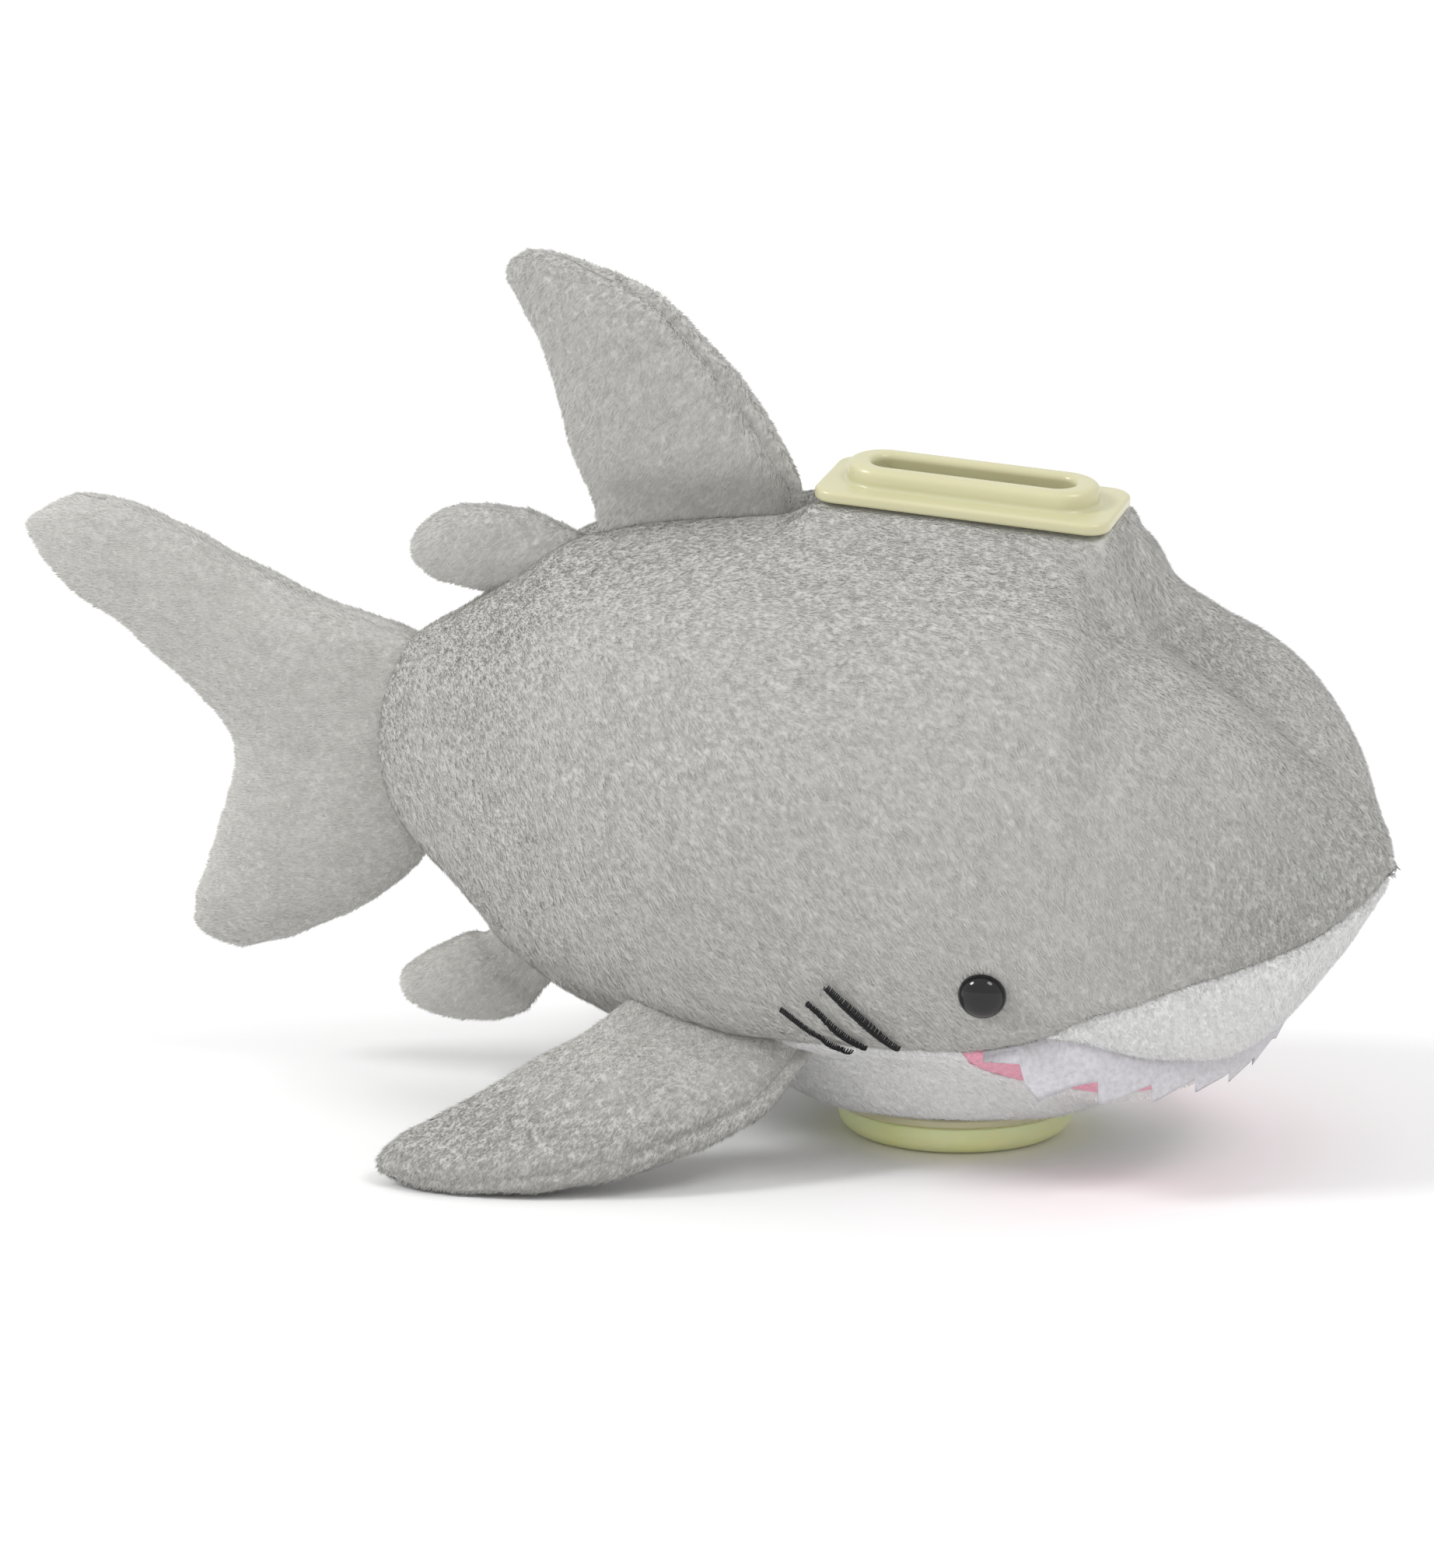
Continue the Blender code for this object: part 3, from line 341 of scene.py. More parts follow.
def body_point(u, theta, depth=0.0):
    """Points under the upright body's surface. theta runs from the top over the right."""
    x, low, high, half, _, square = np.moveaxis(spline(BODY, u), -1, 0)
    middle = low + WAIST * (high - low)
    c, s = np.cos(theta), np.sin(theta)
    crease = crease_depth(x)
    reach = np.maximum(np.where(c > 0, high + crease - middle, middle - low) - depth, 0.2)
    y = -np.maximum(half - depth, 0.2) * signed_power(s, 2 / square)
    z = middle + reach * signed_power(c, 2 / square)
    pressed = z + (FLANGE_TOP + GAP + depth - z) * flange_press(np.hypot(x, y))
    z = np.where(c < 0, pressed, z - crease * np.exp(-(y / CREASE_HALF) ** 2))
    return np.stack([x + 0 * y, y, z], -1)


def inner_station(u, depth):
    """The station of the inner face, drawn away from the tail end and the nose."""
    s = u / STATIONS
    return u + (TAIL_PULL * (1 - s) ** 6 - NOSE_PULL * s ** 8) * depth / SKIN


def theta_at_height(u, z):
    _, low, high, _, _, square = np.moveaxis(spline(BODY, u), -1, 0)
    middle = low + WAIST * (high - low)
    share = np.clip((middle - z) / (middle - low), -1.0, 1.0)
    return np.arccos(-signed_power(share, square / 2))


def seam_theta(u, lift=0.0):
    return theta_at_height(u, spline(BODY, u)[..., 4] + lift)


def flank_point(x, z, depth=0.0):
    u = station_at(x)
    return body_point(u, theta_at_height(u, z), depth)


def raised_to_plate(points):
    """Upright points with the cloth round the slot plate drawn up against its underside."""
    x, y, z = np.moveaxis(points, -1, 0)
    aside = np.hypot(
        np.maximum(np.abs(x - PLATE_AT[0]) - PLATE_LENGTH / 2 + PLATE_OVERLAP, 0),
        np.maximum(np.abs(y) - PLATE_WIDTH / 2 + PLATE_OVERLAP, 0))
    under = PLATE_AT[1] - 0.5 - (x - PLATE_AT[0]) * math.tan(math.radians(PLATE_PITCH))
    folds = 1 + 0.10 * np.sin(0.9 * y + 0.6 * x) * smooth(aside / 3)
    hold = np.exp(-(aside / (RAISE_FADE * folds)) ** 2) * smooth((z - 88) / 8)
    return np.stack([x, y, z + hold * np.maximum(under - z, 0)], -1)


def swelling(points):
    """How far the stuffed fabric stands out of the plain form, at upright points."""
    mirrored = points * np.array([1.0, -1.0, 1.0])
    out = 0.5 * waves(points, 34.0, 3) + 0.15 * waves(points, 12.0, 4)
    for places, swells in ((points, SWELLS_BOTH_SIDES), (mirrored, SWELLS_BOTH_SIDES),
                           (points, SWELLS)):
        for height, centre, reach in swells:
            out = out + height * bump_at(places, centre, reach)
    lifted = (np.hypot(points[..., 0], points[..., 1]) - 32) / 8
    out = out - 0.8 * np.exp(-lifted ** 2) * smooth((20 - points[..., 2]) / 8)
    return np.maximum(out, DEEPEST_HOLLOW)


# ---- meshes ----
def add_mesh(name, verts, faces, materials, shades=None):
    """A smooth mesh object from points in millimetres and faces with equal corners."""
    verts = np.asarray(verts, float) * MM
    faces = np.asarray(faces, int)
    corners = faces.shape[1]
    mesh = bpy.data.meshes.new(name)
    mesh.vertices.add(len(verts))
    mesh.vertices.foreach_set("co", verts.astype(np.float32).ravel())
    mesh.loops.add(faces.size)
    mesh.loops.foreach_set("vertex_index", faces.ravel().astype(np.int32))
    mesh.polygons.add(len(faces))
    starts = np.arange(len(faces), dtype=np.int32) * corners
    mesh.polygons.foreach_set("loop_start", starts)
    if shades is not None:
        mesh.polygons.foreach_set("material_index", np.asarray(shades, np.int32))
    mesh.update(calc_edges=True)
    mesh.validate()
    mesh.shade_smooth()
    for material in materials:
        mesh.materials.append(material)
    obj = bpy.data.objects.new(name, mesh)
    bpy.context.scene.collection.objects.link(obj)
    return obj


def turn_outward(obj):
    form = bmesh.new()
    form.from_mesh(obj.data)
    bmesh.ops.recalc_face_normals(form, faces=form.faces)
    form.to_mesh(obj.data)
    form.free()
    return obj


def grid_faces(rows, columns, start=0, wrap=False):
    across = columns if wrap else columns - 1
    i, j = np.meshgrid(np.arange(rows - 1), np.arange(across), indexing="ij")
    k = (j + 1) % columns
    a = start + i * columns
    b = a + columns
    return np.stack([a + j, a + k, b + k, b + j], -1).reshape(-1, 4)


def shell(name, outer, inner, material):
    """A closed sheet between two grids that match row for row."""
    rows, columns = outer.shape[:2]
    offset = rows * columns
    index = np.arange(offset).reshape(rows, columns)
    rim = np.concatenate([index[0], index[1:, -1], index[-1, -2::-1], index[-2:0:-1, 0]])
    after = np.roll(rim, -1)
    sides = np.stack([rim, after, after + offset, rim + offset], -1)
    faces = np.vstack([grid_faces(rows, columns), grid_faces(rows, columns, offset), sides])
    verts = np.vstack([outer.reshape(-1, 3), inner.reshape(-1, 3)])
    return turn_outward(add_mesh(name, verts, faces, [material]))


def grid_normals(points, away_from):
    """Unit normals of a grid of points, turned away from a point inside it."""
    normals = unit(np.cross(np.gradient(points, axis=0), np.gradient(points, axis=1)))
    outward = (normals * (points - away_from)).sum(-1).mean()
    return normals if outward > 0 else -normals


def edge_distance(points, edges):
    """How far each grid point is from the nearest of the named edges, along the cloth."""
    near = np.full(points.shape[:2], 1e9)
    for edge in edges:
        axis = 1 if "column" in edge else 0
        steps = np.linalg.norm(np.diff(points, axis=axis), axis=-1)
        first = np.insert(np.cumsum(steps, axis=axis), 0, 0.0, axis=axis)
        total = first[:, -1:] if axis == 1 else first[-1:, :]
        near = np.minimum(near, first if "first" in edge else total - first)
    return near


def seam_pull(points, edges, depth=SEAM_DEPTH, width=SEAM_WIDTH):
    """Negative heights that draw the cloth in at its sewn edges, a little at each stitch."""
    near = edge_distance(points, edges)
    stitch = 1 + 0.25 * waves(points, 3.2, 8)
    return -depth * stitch * np.exp(-(near / width) ** 2)


def cut_through(obj, cutter):
    """Cut a hole with another object, which is then removed."""
    modifier = obj.modifiers.new("hole", "BOOLEAN")
    modifier.operation = "DIFFERENCE"
    modifier.solver = "EXACT"
    modifier.object = cutter
    bpy.context.view_layer.update()
    done = obj.evaluated_get(bpy.context.evaluated_depsgraph_get())
    mesh = bpy.data.meshes.new_from_object(done)
    obj.modifiers.clear()
    obj.data = mesh
    bpy.data.objects.remove(cutter, do_unlink=True)


def rounded_rectangle(length, width, radius, segments=12):
    outline = []
    for index, (sx, sy) in enumerate(((1, 1), (-1, 1), (-1, -1), (1, -1))):
        for k in range(segments + 1):
            angle = math.pi / 2 * (index + k / segments)
            outline.append((sx * (length / 2 - radius) + radius * math.cos(angle),
                            sy * (width / 2 - radius) + radius * math.sin(angle)))
    return np.array(outline)


def closed_sweep(rings):
    """A closed ring of rings: verts and faces of a solid with a hole through it."""
    count = len(rings[0])
    faces = grid_faces(len(rings), count, wrap=True)
    last = (len(rings) - 1) * count
    j = np.arange(count)
    k = (j + 1) % count
    seam = np.stack([last + j, last + k, k, j], -1)
    return np.vstack(rings), np.vstack([faces, seam])


def close_ends(obj):
    form = bmesh.new()
    form.from_mesh(obj.data)
    bmesh.ops.holes_fill(form, edges=form.edges, sides=0)
    bmesh.ops.recalc_face_normals(form, faces=form.faces)
    form.to_mesh(obj.data)
    form.free()
    obj.data.shade_smooth()
    return obj


def lathe(name, profile, materials, closed=False, segments=96):
    """Turn (radius, z) points about Z. An open profile starts and ends on the axis."""
    angle = np.arange(segments) * 2 * math.pi / segments
    rings = [np.stack([max(r, 0.02) * np.cos(angle), max(r, 0.02) * np.sin(angle),
                       np.full(segments, z)], -1) for r, z in profile]
    if closed:
        verts, faces = closed_sweep(rings)
        return turn_outward(add_mesh(name, verts, faces, materials))
    verts = np.vstack(rings)
    obj = add_mesh(name, verts, grid_faces(len(rings), segments, wrap=True), materials)
    return close_ends(obj)


def arc(centre, radius, start, end, steps=6):
    """Profile points round an arc, in degrees from the outward direction."""
    return [(centre[0] + radius * math.cos(math.radians(start + (end - start) * k / steps)),
             centre[1] + radius * math.sin(math.radians(start + (end - start) * k / steps)))
            for k in range(steps + 1)]


# ---- materials ----
def principled(name, colour, roughness, **sockets):
    material = bpy.data.materials.new(name)
    material.use_nodes = True
    shader = material.node_tree.nodes["Principled BSDF"]
    shader.inputs["Base Color"].default_value = (*colour, 1.0)
    shader.inputs["Roughness"].default_value = roughness
    for socket, value in sockets.items():
        shader.inputs[socket.replace("_", " ")].default_value = value
    return material


def add_pattern(material, low, high, scale, bump_scale, bump, distance=0.0003, detail=4.0):
    """Mottle a material between two colours and give its surface a fine relief."""
    tree = material.node_tree
    shader = tree.nodes["Principled BSDF"]
    place = tree.nodes.new("ShaderNodeTexCoord")
    mottle = tree.nodes.new("ShaderNodeTexNoise")
    mottle.inputs["Scale"].default_value = scale
    mottle.inputs["Detail"].default_value = detail
    ramp = tree.nodes.new("ShaderNodeValToRGB")
    ramp.color_ramp.elements[0].position = 0.32
    ramp.color_ramp.elements[0].color = (*low, 1.0)
    ramp.color_ramp.elements[1].position = 0.68
    ramp.color_ramp.elements[1].color = (*high, 1.0)
    grain = tree.nodes.new("ShaderNodeTexNoise")
    grain.inputs["Scale"].default_value = bump_scale
    grain.inputs["Detail"].default_value = detail
    relief = tree.nodes.new("ShaderNodeBump")
    relief.inputs["Strength"].default_value = bump
    relief.inputs["Distance"].default_value = distance
    tree.links.new(place.outputs["Object"], mottle.inputs["Vector"])
    tree.links.new(place.outputs["Object"], grain.inputs["Vector"])
    tree.links.new(mottle.outputs["Fac"], ramp.inputs["Fac"])
    tree.links.new(ramp.outputs["Color"], shader.inputs["Base Color"])
    tree.links.new(grain.outputs["Fac"], relief.inputs["Height"])
    tree.links.new(relief.outputs["Normal"], shader.inputs["Normal"])
    return material


def shade(colour, factor):
    return tuple(min(1.0, c * factor) for c in colour)


def fabric(name, colour, roughness=0.95, spread=0.12, scale=900.0, bump=0.8):
    material = principled(name, colour, roughness, Sheen_Weight=0.25, Sheen_Roughness=0.5,
                          Specular_IOR_Level=0.15)
    return add_pattern(material, shade(colour, 1 - spread), shade(colour, 1 + spread), scale,
                       scale * 1.6, bump)


def pile_shades(name, colour):
    """Plain shades that the tufts of one fabric are shared out over."""
    return [principled(f"{name}_{k}", shade(colour, factor), 0.9, Sheen_Weight=0.3,
                       Sheen_Roughness=0.45, Specular_IOR_Level=0.2)
            for k, factor in enumerate(TUFT_TONES)]


# the cloth under the pile is a little darker than its tufts: painted shade between the tufts
grey_cloth = fabric("grey_cloth", shade(GREY, 0.9))
white_cloth = fabric("white_cloth", shade(WHITE, 0.95))
grey_tufts = pile_shades("grey_tufts", GREY)
white_tufts = pile_shades("white_tufts", WHITE)
pink_felt = fabric("pink_felt", (0.80, 0.34, 0.45), spread=0.16, scale=1500.0, bump=1.0)
white_felt = fabric("white_felt", (0.56, 0.545, 0.575), spread=0.1, scale=1100.0, bump=1.0)
black_thread = fabric("black_thread", (0.006, 0.006, 0.007), roughness=0.55, spread=0.3,
                      scale=2500.0, bump=0.4)
cream_plastic = add_pattern(
    principled("cream_plastic", (0.56, 0.54, 0.335), 0.3, Coat_Weight=0.25,
               Coat_Roughness=0.15, Subsurface_Weight=0.1, Subsurface_Scale=0.003),
    (0.55, 0.53, 0.325), (0.57, 0.55, 0.345), 60.0, 240.0, 0.05)
vinyl = add_pattern(
    principled("translucent_vinyl", (0.98, 0.96, 0.50), 0.32, Transmission_Weight=0.12,
               IOR=1.48, Subsurface_Weight=0.4, Subsurface_Scale=0.006),
    (0.94, 0.92, 0.46), (0.99, 0.98, 0.54), 90.0, 300.0, 0.06)
eye_plastic = add_pattern(
    principled("black_eye_plastic", (0.004, 0.004, 0.005), 0.06),
    (0.0035, 0.0035, 0.0045), (0.005, 0.005, 0.006), 200.0, 600.0, 0.02)
fibre = fabric("polyester_fibre", (0.86, 0.86, 0.85), spread=0.08, scale=400.0, bump=1.0)
tank_plastic = add_pattern(principled("tank_plastic", (0.82, 0.82, 0.80), 0.4),
                           (0.80, 0.80, 0.78), (0.84, 0.84, 0.82), 80.0, 300.0, 0.08)


# ---- pile ----
def cell_areas(points):
    a, b, c, d = points[:-1, :-1], points[1:, :-1], points[1:, 1:], points[:-1, 1:]
    return 0.5 * np.linalg.norm(np.cross(c - a, d - b), axis=-1)


def scatter(points, normals, density, rng):
    """Random places spread evenly over a grid, with their normals."""
    area = cell_areas(points)
    count = int(area.sum() * density)
    cell = rng.choice(area.size, count, p=(area / area.sum()).ravel())
    i, j = np.unravel_index(cell, area.shape)
    s, t = rng.random((2, count, 1))

    def mix(field):
        return ((field[i, j] * (1 - s) + field[i + 1, j] * s) * (1 - t)
                + (field[i, j + 1] * (1 - s) + field[i + 1, j + 1] * s) * t)

    return mix(points), unit(mix(normals))


def pile(name, points, normals, comb, shades, seed, keep=None, length=PILE_LENGTH,
         density=PILE_DENSITY, lift=23.0, nap=None):
    """Tapered tufts on a grid of the cloth's surface, lying the way comb(places) points."""
    rng = np.random.default_rng(seed)
    at, out = scatter(points, normals, density, rng)
    if keep is not None:
        kept = keep(at)
        at, out = at[kept], out[kept]
    count = len(at)
    along = comb(at)
    along = unit(along - (along * out).sum(-1, keepdims=True) * out)
    side = np.cross(out, along)
    turn = np.radians(rng.normal(0, 8, count) + 7 * waves(at, 7.0, 21) + 7 * waves(at, 2.0, 22))
    rise = np.radians(rng.normal(lift, 5, count) + 4 * waves(at, 2.0, 23))
    turn, rise = turn[:, None], rise[:, None]
    axis = np.cos(rise) * (np.cos(turn) * along + np.sin(turn) * side) + np.sin(rise) * out
    reach = length * (rng.uniform(0.75, 1.2, count) + 0.12 * waves(at, 2.2, 24))[:, None]
    across = unit(np.cross(axis, out))
    width = PILE_HALF_WIDTH * rng.uniform(0.8, 1.25, count)[:, None]
    root = at - 0.2 * out
    verts = np.stack([root - width * across, root + width * across, at + axis * reach], 1)
    verts = verts.reshape(-1, 3)
    verts[:, 2] = np.maximum(verts[:, 2], 0.06)
    faces = np.arange(3 * count).reshape(-1, 3)
    ribs = 0.5 * np.cos(2 * math.pi * at[:, 0] / RIB) * smooth((at[:, 0] - 8) / 25)
    tone = rng.normal(MIDDLE_TONE, 0.75, count) + 0.3 * waves(at, 1.8, 25) + ribs
    # painted light and shade: the tufts' tone is shifted by where they sit
    if nap is not None:
        tone = tone + nap(at)
    tone = np.clip(np.rint(tone), 0, len(shades) - 1).astype(int)
    return add_mesh(name, verts, faces, shades, tone)


def pile_pieces(name, points, normals, comb, shades, seed, slot, **settings):
    """The pile of one panel, shared out over pieces of a moderate size, riding the body."""
    strip = cell_areas(points).sum(1)
    tufts = np.cumsum(strip) * settings.get("density", PILE_DENSITY)
    count = int(math.ceil(tufts[-1] / PILE_PER_PIECE))
    cuts = np.searchsorted(tufts, tufts[-1] * np.arange(1, count) / count) + 1
    bounds = [0, *cuts, len(points) - 1]
    for k in range(count):
        rows = slice(bounds[k], bounds[k + 1] + 1)
        part = pile(f"{name}_{k + 1}", points[rows], normals[rows], comb, shades, seed + 7 * k,
                    **settings)
        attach(part, "body")


def body_comb(places):
    """The pile of the body lies forward and down, steeper towards the head."""
    angle = np.radians(24 + 34 * smooth((places[:, 0] + 25) / 75))
    return np.stack([np.cos(angle), 0 * angle, -np.sin(angle)], -1)


def body_nap(places):
    """Painted light (above nought) and painted shade on the grey pile, set by where the tufts
    sit.
    """
    x, _, z = np.moveaxis(places, -1, 0)
    low = smooth((78 - z) / 40)
    return (2.6 * smooth((-35 - x) / 45) - 3.2 * smooth((x - 38) / 30) * low
            - 0.9 * smooth((x + 45) / 35) - 0.9 * smooth((42 - z) / 25))


def fin_nap(shift, slope=0.0, level=0.0):
    """Painted light and shade on a fin's pile: one shift all over, and lighter above a height.
    """
    return lambda places: shift + np.clip((places[:, 2] - level) * slope, -2.8, 3.6)


def comb_towards(x, y, z):
    return lambda places: np.broadcast_to(np.array([x, y, z], float), places.shape)


# ---- body ----
head_place = (Matrix.Translation((0.0, 0.0, LEAN_FOOT))
              @ Matrix.Rotation(math.radians(LEAN), 4, "X")
              @ Matrix.Translation((PLATE_AT[0], 0.0, PLATE_AT[1] - LEAN_FOOT))
              @ Matrix.Rotation(math.radians(PLATE_PITCH), 4, "Y"))


def moved(points, matrix):
    turn = np.array(matrix.to_3x3())
    return np.asarray(points, float) @ turn.T + np.array(matrix.translation)


def off_the_plate(places):
    """True where the slot plate doesn't cover the cloth."""
    local = moved(places, head_place.inverted())
    covered = ((np.abs(local[:, 0]) < PLATE_LENGTH / 2 - 0.8)
               & (np.abs(local[:, 1]) < PLATE_WIDTH / 2 - 0.8) & (local[:, 2] > -9))
    return ~covered


def off_the_flange(places):
    return np.hypot(places[:, 0], places[:, 1]) > FLANGE_RADIUS + 0.6


def stuffed(u, theta, edges, sink=0.0, depth=SKIN, shift=0.0):
    """The outer and inner grids of a panel of the body, and the outer one's normals."""
    upright = raised_to_plate(body_point(u, theta, sink))
    upright[..., 1] += shift
    normals = grid_normals(upright, UPRIGHT_CENTRE)
    height = swelling(upright) + seam_pull(upright, edges)
    outer = lean(upright + normals * height[..., None])
    under = body_point(inner_station(u, sink + depth), theta, sink + depth)
    under[..., 1] += shift
    inner = lean(under)
    normals = grid_normals(outer, BODY_CENTRE)
    if u.max() > NOSE_END - 0.01:
        outer[-1] = lean(gathered_nose(u[-1, 0]))
        inner[-1] = lean(gathered_nose(u[-1, 0]) - NOSE_SKIN)
    return outer, inner, normals


def gathered_nose(station):
    """The point the panels are gathered to at the tip of the nose."""
    return NOSE_TIP - NOSE_SLOPE * (STATIONS - station)


def body_side(word, side):
    """The grey cover of one side, with its pile: side is 1 for the right, -1 the left."""
    rows, columns = 260, 84
    u = np.linspace(0.0, STATIONS, rows)[:, None] * np.ones((1, columns))
    share = np.linspace(0.0, 1.0, columns)[None, :]
    theta = side * seam_theta(u, SEAM_GAP) * share
    outer, inner, normals = stuffed(u, theta, ("first column", "last column"),
                                    shift=-side * 0.05)
    skin = shell(f"body_skin_{word}", outer, inner, grey_cloth)
    hole = plate_prism("spigot_hole", SLOT_LENGTH + 2 * SPIGOT_WALL + 2 * GAP,
                       SLOT_WIDTH + 2 * SPIGOT_WALL + 2 * GAP, -30.0, 10.0)
    cut_through(skin, hole)
    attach(skin, "body")
    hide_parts(f"body_side_{word}")
    # the grey pile gets painted light towards the tail and painted shade towards the head and
    # low down
    pile_pieces(f"body_pile_{word}", outer, normals, body_comb, grey_tufts, 31 + side,
                "grey_pile_fabric", keep=off_the_plate, nap=body_nap)


def plate_prism(name, length, width, low, high):
    outline = rounded_rectangle(length, width, width / 2 - 0.01)
    rings = [np.column_stack([outline, np.full(len(outline), z)]) for z in (low, high)]
    verts = moved(np.vstack(rings), head_place)
    obj = add_mesh(name, verts, grid_faces(2, len(outline), wrap=True), [])
    return close_ends(obj)


def mouth_line(t, corner, front, curve):
    """How far forward a line across the mouth runs, from corner to corner over t."""
    return corner + (front - corner) * np.sin(math.pi * np.clip(t, 0, 1)) ** curve


def under_panel(name, node, start, end, rows, columns, material, edges, sink=0.0,
                shrink=0.0, hole=False):
    """A panel under the body between two lines across it, given as stations."""
    t = (shrink + (1 - 2 * shrink) * np.linspace(0.0, 1.0, columns))[None, :]
    s = np.linspace(0.0, 1.0, rows)[:, None]
    u = start(t) + (end(t) - start(t)) * s
    edge = seam_theta(u, -SEAM_GAP)
    theta = edge + (2 * math.pi - 2 * edge) * t
    outer, inner, normals = stuffed(u, theta, edges, sink)
    panel = shell(name, outer, inner, material)
    if hole:
        cut_through(panel, lathe("neck_hole", ((0.02, -5.0), (NECK_OUTER + GAP, -5.0),
                                               (NECK_OUTER + GAP, 20.0), (0.02, 20.0)), []))
    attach(panel, "body")
    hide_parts(node)
    return outer, normals


def belly_end(t):
    return station_at(mouth_line(t, MOUTH_CORNER_X, BELLY_FRONT_X, BELLY_CURVE))


def lip_start(t):
    return station_at(mouth_line(t, LIP_CORNER_X, LIP_FRONT_X, LIP_CURVE))


def build_body():
    body_side("right", 1)
    body_side("left", -1)
    sewn = ("first column", "last column")
    outer, normals = under_panel(
        "belly_skin", "belly_panel", lambda t: BELLY_START + 0 * t, belly_end, 190, 130,
        white_cloth, sewn + ("last row",), hole=True)
    # the belly's white pile is lightened all over: painted light
    pile_pieces("belly_pile", outer, normals, body_comb, white_tufts, 41, "white_pile_fabric",
                keep=off_the_flange, length=WHITE_PILE_LENGTH, nap=fin_nap(1.8))
    under_panel(
        "mouth_skin", "mouth_lining", lambda t: belly_end(t) - LINING_OVERLAP,
        lambda t: lip_start(t) + LINING_OVERLAP, 24, 90, pink_felt, (),
        sink=LINING_SUNK, shrink=LINING_SHRINK)
    outer, normals = under_panel(
        "snout_skin", "snout_underside", lip_start, lambda t: NOSE_END + 0 * t, 110, 120,
        white_cloth, sewn + ("first row",))
    # the snout's white pile is darkened all over: painted shade
    pile_pieces("snout_pile", outer, normals, body_comb, white_tufts, 42, "white_pile_fabric",
                length=WHITE_PILE_LENGTH, nap=fin_nap(-0.7))


def build_teeth():
    """A zigzag strip of felt under the lip: steep rear edges and long shallow front ones."""
    t, length = [-0.035, -0.014], [1.2, 2.4]
    pitch = 1.0 / TOOTH_COUNT
    for k in range(TOOTH_COUNT // 2):
        for step, reach in TOOTH_OUTLINE:
            here = (k + step) * pitch - 0.012
            fade = smooth(here / 0.26)
            tip = TOOTH_LENGTH - (TOOTH_LENGTH - TOOTH_FRONT) * fade
            notch = TOOTH_NOTCH * (1 - 0.5 * fade)
            t.append(here)
            length.append(notch + (tip - notch) * reach)
    t = np.array(t + [0.5] + [1 - v for v in reversed(t)])[None, :]
    length = np.array(length + [TOOTH_FRONT] + length[::-1])[None, :]
    beyond = np.minimum(t, 0) + np.minimum(1 - t, 0)
    x = mouth_line(t, LIP_CORNER_X, LIP_FRONT_X, LIP_CURVE) + 1.0 + beyond * 300
    u = station_at(x)
    edge = seam_theta(u, -GAP)
    theta = edge + (2 * math.pi - 2 * edge) * np.clip(t, 0.0, 1.0)
    top = lean(body_point(u, theta, 1.9))
    out = unit(lean(body_point(u, theta, -1.0)) - lean(body_point(u, theta, 0.5)))
    along = unit(np.gradient(top, axis=1))
    away = np.cross(along, out)
    away = away * np.sign((away * np.array([-0.6, 0.0, -1.0])).sum(-1, keepdims=True))
    hang = unit(0.45 * away + np.array([0.0, 0.0, -0.75]) + 0.18 * out)
    level = np.linspace(0.0, 1.0, 9)[:, None]
    drop = (level * length)[..., None]
    faces = []
    for base in (0.0, FELT):
        sheet = top + hang * drop + out * base
        lifted = 1.3 * smooth(drop / 2.5)
        faces.append(sheet + out * (lifted + (0.3 * waves(sheet, 8.0, 51) * level)[..., None]))
    strip = shell("felt_teeth", faces[1], faces[0], white_felt)
    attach(strip, "body")
    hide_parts("teeth_strip")


# ---- fins ----
def fin_surface(rows, u, theta, depth):
    """Points of a fin: theta 0 is its leading edge and pi its trailing edge."""
    row = spline(rows, u)
    last = len(rows) - 1
    ahead, behind = spline(rows, np.minimum(u + 0.2, last)), spline(rows, np.maximum(u - 0.2, 0))
    lead, trail = row[..., 0:3], row[..., 3:6]
    span = (ahead[..., 0:3] + ahead[..., 3:6] - behind[..., 0:3] - behind[..., 3:6]) / 2
    chord = (lead - trail) / 2
    length = np.linalg.norm(chord, axis=-1, keepdims=True)
    thick = np.maximum(row[..., 6:7] / 2, 0.3)
    across = unit(np.cross(chord, span))
    long_axis = unit(chord) * np.maximum(length - depth, 0.2)
    return ((lead + trail) / 2 + long_axis * np.cos(theta)[..., None]
            + across * np.maximum(thick - depth, 0.15) * np.sin(theta)[..., None])


